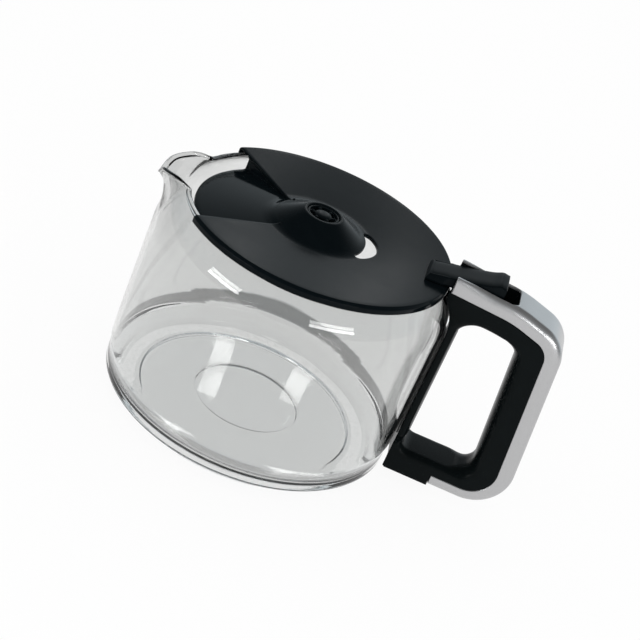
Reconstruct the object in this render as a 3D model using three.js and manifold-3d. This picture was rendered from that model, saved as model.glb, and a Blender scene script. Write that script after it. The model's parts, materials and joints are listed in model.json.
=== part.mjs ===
// Glass coffee carafe with a hinged lid, a thumb lever and a bonded handle
import * as THREE from 'three';
import { mergeVertices } from 'three/addons/utils/BufferGeometryUtils.js';
import loadManifold from 'manifold-3d';

const wasm = await loadManifold();
wasm.setup();

// Driving dimensions, in millimetres and degrees.
// Heights start at the surface the jug stands on, and distances along X and radii at the jug's axis.
// The spout points to -X and the handle to +X.

// Fits
const fitGap = 0.3; // between pieces that touch
const hingeGap = 1.1; // between the lid's edge and the handle's top arm
const slotGap = 0.4; // each side of the lever in its slot

// Glass jug
const wallRadius = 75;
const glassWall = 2.4;
const rimHeight = 108.6;
const collarRadius = 65.6;
const collarHeight = 1.8;
const rimRound = 0.6; // edges of the glass rim
const shoulderHeight = 22.8;
const shoulderSweep = 70;
const footInset = 0.8; // foot ring inside the wall
const footHeight = 8; // widest line of the foot ring
const grooveDepth = 0.9; // groove above the foot ring
const grooveRise = 4.5;
const flareRise = 7.5; // from the groove up to the straight wall
const heelBevel = 8.6; // from the foot's widest line in to the rest ring
const heelRise = 6.8; // where the bevel under the foot would meet its side
const restWidth = 10;
const baseRecess = 1.2;
const baseDiscRadius = 26.7; // deeper disc in the middle of the base
const baseDiscRecess = 0.3;
const floorHeight = 6;
const heelHollow = 10; // inner rounding between floor and wall

// Spout, drawn out of the rim
const spoutReach = 15.5;
const spoutHalfAngle = 18;
const spoutDepth = 17;
const spoutDroop = 6.4;
const spoutDroopAngle = 4;
const spoutSideRise = 2;
const spoutSideAngle = 14;
const spoutSideWidth = 5;

// Lid cover
const skirtGap = 1.2; // between the neck collar and the skirt
const skirtWall = 1.5;
const skirtDrop = 2.4; // below the glass rim
const rimPlate = 1.2; // cover thickness over the glass rim
const lidPlate = 1.8;
const lidEdgeRound = 2.2;
const lidDish = 2.4; // from the lid's edge down to the cone's foot
const coneBaseRadius = 23.6;
const coneTopRadius = 10;
const coneRise = 5.6; // above the lid's edge
const inletBore = 8.3;
const inletTubeDrop = 2;
const pourHalfAngle = 40.2;
const ventWidth = 6.6;
const ventHalfLength = 12.5;

// Lid tray
const plugGap = 3.6;
const plugWall = 1.6;
const plugDepth = 8; // below the glass rim
const pourDrop = 6.1; // front edge of the pour floor below the glass rim
const pourStep = 0.8; // start of the pour floor below the cover
const pourPlate = 1.8;

// Drip inlet
const inletRingWall = 1.1;
const inletRingHeight = 3.4;
const inletHubRadius = 4.3;
const inletHubHeight = 4;
const inletRecess = 0.6; // hub below the cone's top
const spokeCount = 6;
const spokeWidth = 1.4;

// Handle, seen from the side
const handleHalfWidth = 11.75;
const handleTopRise = 9.2; // above the glass rim
const handleBottom = 6.8;
const bendReach = 28; // beyond the glass wall
const bendDrop = 2.1;
const backTopReach = 54.7;
const backTopDrop = 10;
const backBottomReach = 64;
const bendFillet = 60;
const backTopFillet = 18;
const backBottomFillet = 21;
const strapGap = 1.4; // from glass to strap
const strapWall = 3.7;
const strapHalfWidth = 9;
const strapTopFillet = 8;
const strapBottomFillet = 6;
const loopTopFillet = 11;
const loopBottomFillet = 9;
const lowerBlockHeight = 25; // where the strap widens to the lower arm
const upperBlockDrop = 12; // same below the glass rim
const armThickness = 10;
const armRearThickness = 8;
const gripThickness = 13.3;
const lowerArmThickness = 6.5;

// Handle trim
const trimEndReach = 24.7;
const trimWall = 1.4;
const trimTopDepth = 8.4;
const trimBackDepth = 8;
const trimBottomDepth = 6.3;

// Hinge and thumb lever
const pivotSetback = 7; // behind the front of the top arm
const pivotRise = 1.8; // above the glass rim
const pinRadius = 1.5;
const bossRadius = 3.8;
const leverHalfWidth = 8.4;
const leverFootHalfWidth = 9.8;
const leverFootLength = 11;
const leverFootHeight = 3.3; // above the lid's edge
const leverFootBevel = 1.7; // slope of the foot's front
const leverFlange = 1.6; // height of the foot's wider edge above the lid's edge
const leverFootSetback = 3.4; // before the front of the top arm
const leverTail = 16.8; // behind the pivot
const leverTipRise = 11.3; // above the pivot
const leverTipFlat = 3.6; // level part of the thumb end
const leverTipDepth = 6.2;
const leverHollowRise = 7.9; // hollow of the thumb rest above the pivot
const leverHollow = 14; // fillets of the hollow and of the crest behind it
const leverCrest = 3;
const leverRound = 2; // corners of tip and boss
const leverEdgeRound = 1; // corners of the foot and under tip and nose
const thumbRoom = 8.3; // slot left open behind the lever
const slotFillet = 3;
const slotLip = 0.8; // trim's slot wider than the body's on each side
const pocketFloor = 2.5; // thickness under the lever pocket
const pegRadius = 1.5; // staked pegs under the lever foot
const pegSpread = 12;

// Bond strip and trim screw
const bondWall = strapGap - 2 * fitGap;
const bondMargin = 1; // strip inside the strap's edges
const screwReach = 37; // beyond the glass wall
const screwHeadRadius = 2.6;
const screwHeadHeight = 0.9;
const screwShankRadius = 1.3;
const screwLength = 8;

// Fineness of the facets
const latheSegments = 72;
const jugSegments = 80;
const jugCrowding = 0.5; // 1 spreads the jug's facets evenly, less crowds them at the spout
const boreSegments = 24;
const arcStep = 18;
const curveSteps = 5;
const mergeDistance = 1e-4;

// Places worked out from the dimensions
const grooveHeight = footHeight + grooveRise;
const wallStart = grooveHeight + flareRise;
const wallTop = rimHeight - collarHeight - shoulderHeight;
const footRadius = wallRadius - footInset;
const restRadius = footRadius - heelBevel;
const innerRadius = wallRadius - glassWall;
const neckRadius = collarRadius - glassWall;
const lidRadius = collarRadius + skirtGap + skirtWall;
const lidEdge = rimHeight + fitGap + rimPlate;
const lidEdgeRadius = lidRadius - lidEdgeRound;
const skirtBottom = rimHeight - skirtDrop;
const coneTop = lidEdge + coneRise;
const dishBottom = lidEdge - lidDish;
const plugRadius = neckRadius - plugGap;
const plugBottom = rimHeight - plugDepth;
const pourStart = coneBaseRadius + 2 * fitGap;
const armFront = lidRadius + hingeGap;
const handleTop = rimHeight + handleTopRise;
const strapOuter = wallRadius + strapGap + strapWall;
const trimEnd = wallRadius + trimEndReach;
const pivotX = armFront + pivotSetback;
const pivotZ = rimHeight + pivotRise;
const slotRear = pivotX + leverTail + thumbRoom;
const slotHalfWidth = leverHalfWidth + slotGap;
const coreHalfWidth = handleHalfWidth - trimWall - fitGap;

// Materials
const clearGlass = new THREE.MeshStandardMaterial({
  color: 0xdfe5e4, roughness: 0.05, metalness: 0, transparent: true, opacity: 0.35,
});
const lidPlastic = new THREE.MeshStandardMaterial({ color: 0x30363a, roughness: 0.35, metalness: 0 });
const handlePlastic = new THREE.MeshStandardMaterial({ color: 0x14191b, roughness: 0.3, metalness: 0 });
const satinSilver = new THREE.MeshStandardMaterial({ color: 0xb4b8ba, roughness: 0.35, metalness: 0.8 });
const steel = new THREE.MeshStandardMaterial({ color: 0xa8abad, roughness: 0.3, metalness: 1 });
const silicone = new THREE.MeshStandardMaterial({ color: 0x1b1d1e, roughness: 0.6, metalness: 0 });

// Solids: conversion, lathes and extrusions

function solidOf(geometry) {
  const bare = new THREE.BufferGeometry();
  bare.setAttribute('position', geometry.getAttribute('position'));
  bare.setIndex(geometry.index);
  const merged = mergeVertices(bare, mergeDistance);
  const corners = [];
  for (let i = 0; i < merged.index.count; i += 3) {
    const face = [0, 1, 2].map((k) => merged.index.getX(i + k));
    if (new Set(face).size === 3) corners.push(...face);
  }
  return new wasm.Manifold(new wasm.Mesh({
    numProp: 3,
    vertProperties: merged.getAttribute('position').array,
    triVerts: Uint32Array.from(corners),
  }));
}

function meshOf(name, solid, material) {
  const { vertProperties, triVerts } = solid.getMesh();
  const geometry = new THREE.BufferGeometry();
  geometry.setAttribute('position', new THREE.BufferAttribute(vertProperties, 3));
  geometry.setIndex(new THREE.BufferAttribute(triVerts, 1));
  geometry.computeVertexNormals();
  const mesh = new THREE.Mesh(geometry, material);
  mesh.name = name;
  return mesh;
}

const flat = (points) => points.map(([a, b]) => new THREE.Vector2(a, b));

// A profile of [radius, height] points turned round the jug's axis
function latheGeometry(profile, segments = latheSegments) {
  return new THREE.LatheGeometry(flat(profile), segments).rotateX(Math.PI / 2);
}

function lathe(profile, segments) {
  return solidOf(latheGeometry(profile, segments));
}

// A ring's profile closes on itself
function ringLathe(profile, segments) {
  return lathe([...profile, profile[0]], segments);
}

// An outline of [x, z] points extruded along Y, the same distance both ways
function sideExtrusion(points, halfWidth) {
  const options = { depth: 2 * halfWidth, bevelEnabled: false };
  const geometry = new THREE.ExtrudeGeometry(new THREE.Shape(flat(points)), options);
  return solidOf(geometry.rotateX(Math.PI / 2).translate(0, halfWidth, 0));
}

// An outline of [x, y] points extruded up from one height to another
function plateExtrusion(points, bottom, top) {
  const options = { depth: top - bottom, bevelEnabled: false };
  const geometry = new THREE.ExtrudeGeometry(new THREE.Shape(flat(points)), options);
  return solidOf(geometry.translate(0, 0, bottom));
}

function box(low, high) {
  const size = high.map((value, i) => value - low[i]);
  const centre = high.map((value, i) => (value + low[i]) / 2);
  return solidOf(new THREE.BoxGeometry(...size).translate(...centre));
}

function uprightRod(x, y, radius, bottom, top) {
  const geometry = new THREE.CylinderGeometry(radius, radius, top - bottom, boreSegments);
  return solidOf(geometry.rotateX(Math.PI / 2).translate(x, y, (bottom + top) / 2));
}

function crossRod(x, z, radius, halfLength) {
  const geometry = new THREE.CylinderGeometry(radius, radius, 2 * halfLength, boreSegments);
  return solidOf(geometry.translate(x, 0, z));
}

function joined(...solids) {
  return solids.reduce((whole, solid) => whole.add(solid));
}

function cut(whole, ...solids) {
  return solids.reduce((rest, solid) => rest.subtract(solid), whole);
}

// Outlines with filleted corners

const corner = (x, z, fillet = 0) => ({ x, z, fillet });

// Points along an arc about a centre, from one angle to another
function arcPoints(x, z, radius, from, to) {
  const steps = Math.max(2, Math.ceil(Math.abs(to - from) / THREE.MathUtils.degToRad(arcStep)));
  return Array.from({ length: steps + 1 }, (_, k) => {
    const angle = from + ((to - from) * k) / steps;
    return [x + radius * Math.cos(angle), z + radius * Math.sin(angle)];
  });
}

function filletPoints(before, here, after) {
  if (!here.fillet) return [[here.x, here.z]];
  const tip = new THREE.Vector2(here.x, here.z);
  const toBefore = new THREE.Vector2(before.x, before.z).sub(tip).normalize();
  const toAfter = new THREE.Vector2(after.x, after.z).sub(tip).normalize();
  const opening = Math.acos(toBefore.dot(toAfter));
  const inward = toBefore.clone().add(toAfter).normalize();
  const centre = tip.clone().addScaledVector(inward, here.fillet / Math.sin(opening / 2));
  const setback = here.fillet / Math.tan(opening / 2);
  const start = tip.clone().addScaledVector(toBefore, setback).sub(centre);
  const turn = Math.sign(toBefore.cross(toAfter)) * (opening - Math.PI);
  return arcPoints(centre.x, centre.y, here.fillet, start.angle(), start.angle() + turn);
}

function roundedOutline(corners) {
  return corners.flatMap((here, i) => {
    const after = corners[(i + 1) % corners.length];
    return filletPoints(corners.at(i - 1), here, after);
  });
}

// A chain of corners moved to its right by a depth for each edge, cut off at a front and an end X
function insetChain(chain, depths, frontX, endX) {
  const edges = depths.map((depth, i) => {
    const start = new THREE.Vector2(chain[i].x, chain[i].z);
    const along = new THREE.Vector2(chain[i + 1].x, chain[i + 1].z).sub(start).normalize();
    return { at: start.add(new THREE.Vector2(along.y, -along.x).multiplyScalar(depth)), along };
  });
  const heightAt = ({ at, along }, x) => at.y + (along.y * (x - at.x)) / along.x;
  const inner = edges.slice(1).map((edge, i) => {
    const last = edges[i];
    const apart = edge.at.clone().sub(last.at);
    const reach = apart.cross(edge.along) / last.along.cross(edge.along);
    const depth = (depths[i] + depths[i + 1]) / 2;
    const fillet = Math.max(chain[i + 1].fillet - depth, fitGap);
    return corner(last.at.x + last.along.x * reach, last.at.y + last.along.y * reach, fillet);
  });
  const front = corner(frontX, heightAt(edges[0], frontX));
  const end = corner(endX, heightAt(edges.at(-1), endX));
  return [front, ...inner, end];
}

// Glass jug

// One side of the shoulder, from the straight wall up to the collar
function shoulderPoints(lowRadius, highRadius) {
  const sweep = THREE.MathUtils.degToRad(shoulderSweep);
  const steps = Math.ceil(shoulderSweep / arcStep);
  return Array.from({ length: steps + 1 }, (_, k) => {
    const angle = (sweep * k) / steps;
    const inward = (1 - Math.cos(angle)) / (1 - Math.cos(sweep));
    const upward = Math.sin(angle) / Math.sin(sweep);
    return [lowRadius + (highRadius - lowRadius) * inward, wallTop + shoulderHeight * upward];
  });
}

function outsideProfile() {
  const grooveRadius = footRadius - grooveDepth;
  const heel = new THREE.QuadraticBezierCurve(...flat([
    [restRadius, 0], [footRadius, heelRise], [footRadius, footHeight],
  ]));
  return [
    ...heel.getPoints(curveSteps).map(({ x, y }) => [x, y]),
    [grooveRadius, grooveHeight],
    [(grooveRadius + wallRadius) / 2, grooveHeight + flareRise / 2],
    [wallRadius, wallStart],
    ...shoulderPoints(wallRadius, collarRadius),
    [collarRadius, rimHeight - rimRound],
    [collarRadius - rimRound, rimHeight],
  ];
}

function insideProfile() {
  const heel = arcPoints(innerRadius - heelHollow, floorHeight + heelHollow, heelHollow, 0, -Math.PI / 2);
  return [
    [neckRadius + rimRound, rimHeight],
    [neckRadius, rimHeight - rimRound],
    ...shoulderPoints(innerRadius, neckRadius).reverse(),
    ...heel,
    [0, floorHeight],
  ];
}

// Facets are crowded towards the spout, then the rim there is drawn out, raised at the sides and drooped
function drawSpout(geometry) {
  const positions = geometry.getAttribute('position');
  const half = THREE.MathUtils.degToRad(spoutHalfAngle);
  const droopAngle = THREE.MathUtils.degToRad(spoutDroopAngle);
  const sideAngle = THREE.MathUtils.degToRad(spoutSideAngle);
  const sideWidth = THREE.MathUtils.degToRad(spoutSideWidth);
  for (let i = 0; i < positions.count; i += 1) {
    const [x, y, z] = [positions.getX(i), positions.getY(i), positions.getZ(i)];
    const turn = Math.atan2(y, -x) / Math.PI;
    const angle = Math.PI * (jugCrowding * turn + (1 - jugCrowding) * turn ** 3);
    const draw = THREE.MathUtils.clamp((z - rimHeight) / spoutDepth + 1, 0, 1) ** 2;
    const across = Math.min(Math.abs(angle) / half, 1);
    const radius = Math.hypot(x, y) + spoutReach * draw * Math.cos((across * Math.PI) / 2);
    const droop = spoutDroop * Math.exp(-((angle / droopAngle) ** 2));
    const rise = spoutSideRise * Math.exp(-(((Math.abs(angle) - sideAngle) / sideWidth) ** 2));
    positions.setXYZ(i, -radius * Math.cos(angle), radius * Math.sin(angle), z + draw * (rise - droop));
  }
  return geometry;
}

function glassJug() {
  const restInner = restRadius - restWidth;
  const base = [
    [0, baseRecess + baseDiscRecess], [baseDiscRadius - baseDiscRecess, baseRecess + baseDiscRecess],
    [baseDiscRadius, baseRecess], [restInner - baseRecess, baseRecess], [restInner, 0],
  ];
  const profile = [...base, ...outsideProfile(), ...insideProfile()];
  return solidOf(drawSpout(latheGeometry(profile, jugSegments)));
}

// The space the jug takes beside the handle, wider by a gap
function jugEnvelope(gap) {
  const sides = outsideProfile().map(([r, z]) => [r + gap, z]);
  return lathe([[0, -gap], [sides[0][0], -gap], ...sides, [0, sides.at(-1)[1]]]);
}

// Lid

// Top of the dished cover at a radius
function coverTop(radius) {
  return dishBottom + (lidDish * (radius - coneBaseRadius)) / (lidEdgeRadius - coneBaseRadius);
}

// A wedge about -X, from an inner radius to beyond the lid, between two heights
function pourWedge(innerRadius, bottom, top, halfAngle = pourHalfAngle) {
  const half = THREE.MathUtils.degToRad(halfAngle);
  const outer = 2 * lidRadius;
  const points = [
    ...arcPoints(0, 0, outer, Math.PI - half, Math.PI + half),
    ...arcPoints(0, 0, innerRadius, Math.PI + half, Math.PI - half),
  ];
  return plateExtrusion(points, bottom, top);
}

function ventCutter() {
  const inner = coneBaseRadius + fitGap;
  const ends = inner - ventWidth / 2;
  const crescent = new THREE.Shape();
  crescent.moveTo(ends, -ventHalfLength);
  crescent.quadraticCurveTo(2 * (inner + ventWidth) - ends, 0, ends, ventHalfLength);
  crescent.quadraticCurveTo(2 * inner - ends, 0, ends, -ventHalfLength);
  const points = crescent.getPoints(2 * curveSteps).slice(0, -1).map(({ x, y }) => [x, y]);
  return plateExtrusion(points, plugBottom, coneTop);
}

// The pegs under the lever foot are staked below the cover
const pegPlaces = [-1, 1].map((side) => {
  return { x: armFront - leverFootSetback - leverFootLength / 2, y: (side * pegSpread) / 2 };
});

function lidCover() {
  const tubeWall = coneTopRadius - inletBore;
  const tubeBottom = dishBottom - lidPlate - inletTubeDrop;
  const skirtInner = lidRadius - skirtWall;
  const rimInner = plugRadius;
  const profile = [
    [inletBore, tubeBottom],
    [coneTopRadius, tubeBottom],
    [coneTopRadius, coneTop - 2 * lidPlate],
    [coneTopRadius + tubeWall, coneTop - 2 * lidPlate],
    [coneBaseRadius - lidPlate, dishBottom - lidPlate],
    [coneBaseRadius, coverTop(coneBaseRadius) - lidPlate],
    [rimInner, coverTop(rimInner) - lidPlate],
    [rimInner + fitGap, lidEdge - rimPlate],
    [skirtInner, lidEdge - rimPlate],
    [skirtInner, skirtBottom],
    [lidRadius, skirtBottom],
    ...arcPoints(lidEdgeRadius, lidEdge - lidEdgeRound, lidEdgeRound, 0, Math.PI / 2),
    [coneBaseRadius + lidPlate, coverTop(coneBaseRadius + lidPlate)],
    [coneBaseRadius - lidPlate, dishBottom + lidPlate / 2],
    [coneTopRadius, coneTop],
    [inletBore, coneTop],
  ];
  const pegHoles = pegPlaces.map(({ x, y }) => uprightRod(x, y, pegRadius + fitGap, plugBottom, coneTop));
  const wedge = pourWedge(coneBaseRadius, plugBottom, coneTop);
  return cut(ringLathe(profile), wedge, ventCutter(), ...pegHoles);
}

// Height of the pour floor at a radius
function pourTop(radius) {
  const start = dishBottom - pourStep;
  const end = rimHeight - pourDrop;
  return start + ((end - start) * (radius - pourStart)) / (plugRadius - pourStart);
}

// The tray is the plug ring and a block across the pour sector, sunk in the ring.
// The block is hollowed down to the pour floor, which leaves a wall on each side of it.
function lidTray() {
  const under = (radius) => coverTop(radius) - lidPlate - fitGap;
  const plugInner = plugRadius - plugWall;
  const blockOuter = (plugInner + plugRadius) / 2;
  const ring = ringLathe([
    [plugInner, plugBottom], [plugRadius, plugBottom],
    [plugRadius, under(plugRadius)], [plugInner, under(plugInner)],
  ]);
  const slab = ringLathe([
    [pourStart, pourTop(pourStart) - pourPlate], [blockOuter, pourTop(blockOuter) - pourPlate],
    [blockOuter, under(blockOuter) - fitGap], [pourStart, under(pourStart) - fitGap],
  ]);
  const above = ringLathe([
    [pourStart - fitGap, pourTop(pourStart - fitGap)], [lidRadius, pourTop(lidRadius)],
    [lidRadius, coneTop], [pourStart - fitGap, coneTop],
  ]);
  const wallAngle = THREE.MathUtils.radToDeg(plugWall / plugRadius);
  const block = slab.intersect(pourWedge(coneTopRadius, 0, coneTop, pourHalfAngle + 2 * wallAngle));
  const hollow = above.intersect(pourWedge(coneTopRadius, 0, 2 * coneTop));
  return cut(joined(ring, block), hollow);
}

function dripInlet() {
  const ringOuter = inletBore - fitGap;
  const ringInner = ringOuter - inletRingWall;
  const top = coneTop - inletRecess;
  const ringTop = top - inletRecess;
  const ring = ringLathe([
    [ringInner, ringTop - inletRingHeight], [ringOuter, ringTop - inletRingHeight],
    [ringOuter, ringTop], [ringInner, ringTop],
  ], boreSegments);
  const hub = uprightRod(0, 0, inletHubRadius, top - inletHubHeight, top);
  const spokeStart = inletHubRadius / 2;
  const spokeEnd = (ringInner + ringOuter) / 2;
  const spokes = Array.from({ length: spokeCount }, (_, k) => {
    const bar = new THREE.BoxGeometry(spokeEnd - spokeStart, spokeWidth, inletRingHeight / 2);
    bar.translate((spokeStart + spokeEnd) / 2, 0, ringTop - inletRingHeight / 2);
    return solidOf(bar.rotateZ((2 * Math.PI * k) / spokeCount));
  });
  return joined(ring, hub, ...spokes);
}

// Thumb lever

function thumbLever() {
  const footFront = armFront - leverFootSetback - leverFootLength;
  const footRear = armFront - leverFootSetback;
  const flangeTop = lidEdge + leverFlange;
  const seat = (x) => coverTop(x) + fitGap;
  const nose = armFront - fitGap;
  const tailX = pivotX + leverTail;
  const tipZ = pivotZ + leverTipRise;
  const blade = sideExtrusion(roundedOutline([
    corner(footFront, seat(footFront)),
    corner(footFront + leverFootBevel, lidEdge + leverFootHeight, leverEdgeRound),
    corner(tailX - leverTail / 2, pivotZ + leverHollowRise, leverHollow),
    corner(tailX - leverTipFlat, tipZ, leverCrest),
    corner(tailX, tipZ, leverRound),
    corner(tailX, tipZ - leverTipDepth, leverEdgeRound),
    corner(tailX - leverTail / 3, tipZ - leverTipDepth),
    corner(pivotX + bossRadius, pivotZ),
    corner(pivotX + bossRadius, pivotZ - bossRadius, leverRound),
    corner(nose, pivotZ - bossRadius, leverEdgeRound),
    corner(nose, seat(lidEdgeRadius)),
    corner(lidEdgeRadius, seat(lidEdgeRadius)),
  ]), leverHalfWidth);
  const foot = sideExtrusion([
    [footFront, seat(footFront)], [footRear, seat(footRear)], [footRear, flangeTop], [footFront, flangeTop],
  ], leverFootHalfWidth);
  const pegs = pegPlaces.map(({ x, y }) => {
    return uprightRod(x, y, pegRadius, coverTop(x) - lidPlate, (seat(x) + flangeTop) / 2);
  });
  const bore = crossRod(pivotX, pivotZ, pinRadius + fitGap, handleHalfWidth);
  return cut(joined(blade, foot, ...pegs), bore);
}

function hingePin() {
  return crossRod(pivotX, pivotZ, pinRadius, coreHalfWidth - fitGap);
}

// Handle

// The handle's outside from the front of the top arm, over the back, to the end of the trim
const handleChain = [
  corner(armFront, handleTop),
  corner(wallRadius + bendReach, handleTop - bendDrop, bendFillet),
  corner(wallRadius + backTopReach, handleTop - backTopDrop, backTopFillet),
  corner(wallRadius + backBottomReach, handleBottom, backBottomFillet),
  corner(trimEnd, handleBottom),
];
const trimDepths = [trimTopDepth, trimTopDepth, trimBackDepth, trimBottomDepth];
const gripDepths = [armThickness, armRearThickness, gripThickness, lowerArmThickness];

function insetHandle(depths, frontX = armFront, endX = trimEnd) {
  return insetChain(handleChain, depths, frontX, endX);
}

const allEdges = (depth) => trimDepths.map(() => depth);
const loopDepths = trimDepths.map((depth, i) => depth + gripDepths[i]);
const loopChain = insetHandle(loopDepths, strapOuter, strapOuter);
const loopTop = loopChain[0].z;

// The band between two chains
function bandOutline(outer, inner) {
  return roundedOutline([...outer, ...inner.toReversed()]);
}

function slotCutter(bottom, half) {
  const outline = [
    corner(armFront - hingeGap, -half),
    corner(slotRear, -half, slotFillet),
    corner(slotRear, half, slotFillet),
    corner(armFront - hingeGap, half),
  ];
  return plateExtrusion(roundedOutline(outline), bottom, handleTop + fitGap);
}

function screwCutter() {
  const x = wallRadius + screwReach;
  const seat = handleBottom + screwHeadHeight + fitGap;
  return joined(
    uprightRod(x, 0, screwHeadRadius + fitGap, handleBottom - fitGap, seat),
    uprightRod(x, 0, screwShankRadius + fitGap, handleBottom, seat + screwLength + fitGap),
  );
}

function trimScrew() {
  const x = wallRadius + screwReach;
  const headTop = handleBottom + screwHeadHeight;
  return joined(
    uprightRod(x, 0, screwHeadRadius, handleBottom, headTop),
    uprightRod(x, 0, screwShankRadius, handleBottom, headTop + screwLength),
  );
}

// A channel over the handle's core, open at the front and capped at its lower end
function handleTrim() {
  const shell = sideExtrusion(bandOutline(handleChain, insetHandle(trimDepths)), handleHalfWidth);
  const hollowFront = armFront - trimWall;
  const hollowEnd = trimEnd + trimWall;
  const web = insetHandle(allEdges(trimWall), hollowFront, hollowEnd);
  const beyond = insetHandle(trimDepths.map((depth) => depth + trimWall), hollowFront, hollowEnd);
  const hollow = sideExtrusion(bandOutline(web, beyond), handleHalfWidth - trimWall);
  return cut(shell, hollow, slotCutter(loopTop, slotHalfWidth + slotLip), screwCutter());
}

function handleBody() {
  const clear = trimDepths.map((depth) => depth + fitGap);
  const edge = insetHandle(clear, armFront, trimEnd - fitGap);
  const sides = sideExtrusion(roundedOutline([
    ...edge,
    corner(trimEnd - fitGap, handleBottom),
    corner(armFront, handleBottom),
  ]), handleHalfWidth);
  const coreEnd = trimEnd + trimWall + fitGap;
  const coreOuter = insetHandle(allEdges(trimWall + fitGap), armFront, coreEnd);
  const coreInner = insetHandle(trimDepths.map((depth) => depth + trimWall), armFront, coreEnd);
  const core = sideExtrusion(bandOutline(coreOuter, coreInner), coreHalfWidth);
  const [strapTop, , backTop, backBottom, strapBottom] = loopChain;
  const loop = sideExtrusion(roundedOutline([
    { ...strapTop, fillet: strapTopFillet },
    { ...backTop, fillet: loopTopFillet },
    { ...backBottom, fillet: loopBottomFillet },
    { ...strapBottom, fillet: strapBottomFillet },
  ]), 2 * handleHalfWidth);
  const strapSides = [-1, 1].map((side) => {
    const faces = [side * strapHalfWidth, 2 * side * handleHalfWidth].sort((a, b) => a - b);
    return box([0, faces[0], lowerBlockHeight], [strapOuter + fitGap, faces[1], rimHeight - upperBlockDrop]);
  });
  const pinBore = crossRod(pivotX, pivotZ, pinRadius + fitGap, handleHalfWidth);
  const pocket = slotCutter(loopTop + pocketFloor, slotHalfWidth);
  return cut(joined(sides, core), loop, ...strapSides, jugEnvelope(strapGap), pocket, pinBore, screwCutter());
}

function handleBond() {
  const half = Math.asin((strapHalfWidth - bondMargin) / wallRadius);
  const inner = wallRadius + fitGap;
  const points = [
    ...arcPoints(0, 0, inner + bondWall, -half, half),
    ...arcPoints(0, 0, inner, half, -half),
  ];
  return plateExtrusion(points, Math.max(lowerBlockHeight, wallStart) + bondMargin, wallTop - bondMargin);
}

// Assembly, with its origin under the middle of the whole length
const carafe = new THREE.Group();
carafe.add(
  meshOf('glass_jug', glassJug(), clearGlass),
  meshOf('handle_bond', handleBond(), silicone),
  meshOf('handle_body', handleBody(), handlePlastic),
  meshOf('handle_trim', handleTrim(), satinSilver),
  meshOf('trim_screw', trimScrew(), steel),
  meshOf('hinge_pin', hingePin(), steel),
  meshOf('thumb_lever', thumbLever(), lidPlastic),
  meshOf('lid_cover', lidCover(), lidPlastic),
  meshOf('lid_tray', lidTray(), lidPlastic),
  meshOf('drip_inlet', dripInlet(), handlePlastic),
);
const extent = new THREE.Box3().setFromObject(carafe);
carafe.position.x = -(extent.min.x + extent.max.x) / 2;

const part = new THREE.Group();
part.add(carafe);

export default part;
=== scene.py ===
import json
import math

import bpy
import numpy as np
from bpy.props import FloatProperty, FloatVectorProperty, PointerProperty
from mathutils import Matrix, Vector


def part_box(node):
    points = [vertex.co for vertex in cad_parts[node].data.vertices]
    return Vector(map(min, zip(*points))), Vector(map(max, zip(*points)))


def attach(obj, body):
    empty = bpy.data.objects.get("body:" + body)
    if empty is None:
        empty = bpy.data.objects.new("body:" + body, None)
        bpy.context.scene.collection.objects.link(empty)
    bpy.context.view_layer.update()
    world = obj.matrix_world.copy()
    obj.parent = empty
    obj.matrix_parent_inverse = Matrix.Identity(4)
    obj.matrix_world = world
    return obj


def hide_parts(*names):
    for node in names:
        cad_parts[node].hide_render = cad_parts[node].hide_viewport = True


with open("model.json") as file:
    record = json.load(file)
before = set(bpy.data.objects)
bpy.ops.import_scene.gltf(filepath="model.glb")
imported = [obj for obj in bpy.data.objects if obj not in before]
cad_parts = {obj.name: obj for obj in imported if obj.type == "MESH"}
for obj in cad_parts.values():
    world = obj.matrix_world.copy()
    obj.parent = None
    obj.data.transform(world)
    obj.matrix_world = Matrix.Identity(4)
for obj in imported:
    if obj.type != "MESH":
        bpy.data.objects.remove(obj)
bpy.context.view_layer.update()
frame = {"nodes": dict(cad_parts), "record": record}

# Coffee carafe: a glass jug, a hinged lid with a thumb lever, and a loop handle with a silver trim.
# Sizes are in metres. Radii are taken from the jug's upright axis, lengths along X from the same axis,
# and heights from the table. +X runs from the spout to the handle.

bl_info = {
    "name": "Coffee Carafe",
    "version": (1, 0, 0),
    "blender": (4, 5, 0),
    "location": "View3D > Sidebar > Carafe",
    "description": "Builds a glass coffee carafe with a hinged lid around its packed solids",
    "category": "Add Mesh",
}

MM = 0.001
JUG_BODY = "jug_and_handle"
LID_BODY = "lid"
INLET_LOW, INLET_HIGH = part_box("drip_inlet")
AXIS_X = (INLET_LOW.x + INLET_HIGH.x) / 2
HINGE = Vector(frame["record"]["behaviour"]["joints"][0]["pos_m"])


def length(name, millimetres, description):
    """A size in metres, written in millimetres."""
    return FloatProperty(
        name=name, description=description, default=millimetres * MM, unit="LENGTH", precision=5)


def angle(name, degrees, description):
    """An angle in radians, written in degrees."""
    return FloatProperty(name=name, description=description, default=math.radians(degrees), unit="ROTATION")


def colour(name, values, description):
    """A colour in linear red, green and blue."""
    return FloatVectorProperty(
        name=name, description=description, default=values, subtype="COLOR", min=0, max=1)


def share(name, value, description):
    """A plain number from none to all."""
    return FloatProperty(name=name, description=description, default=value, min=0, max=1, subtype="FACTOR")


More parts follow.
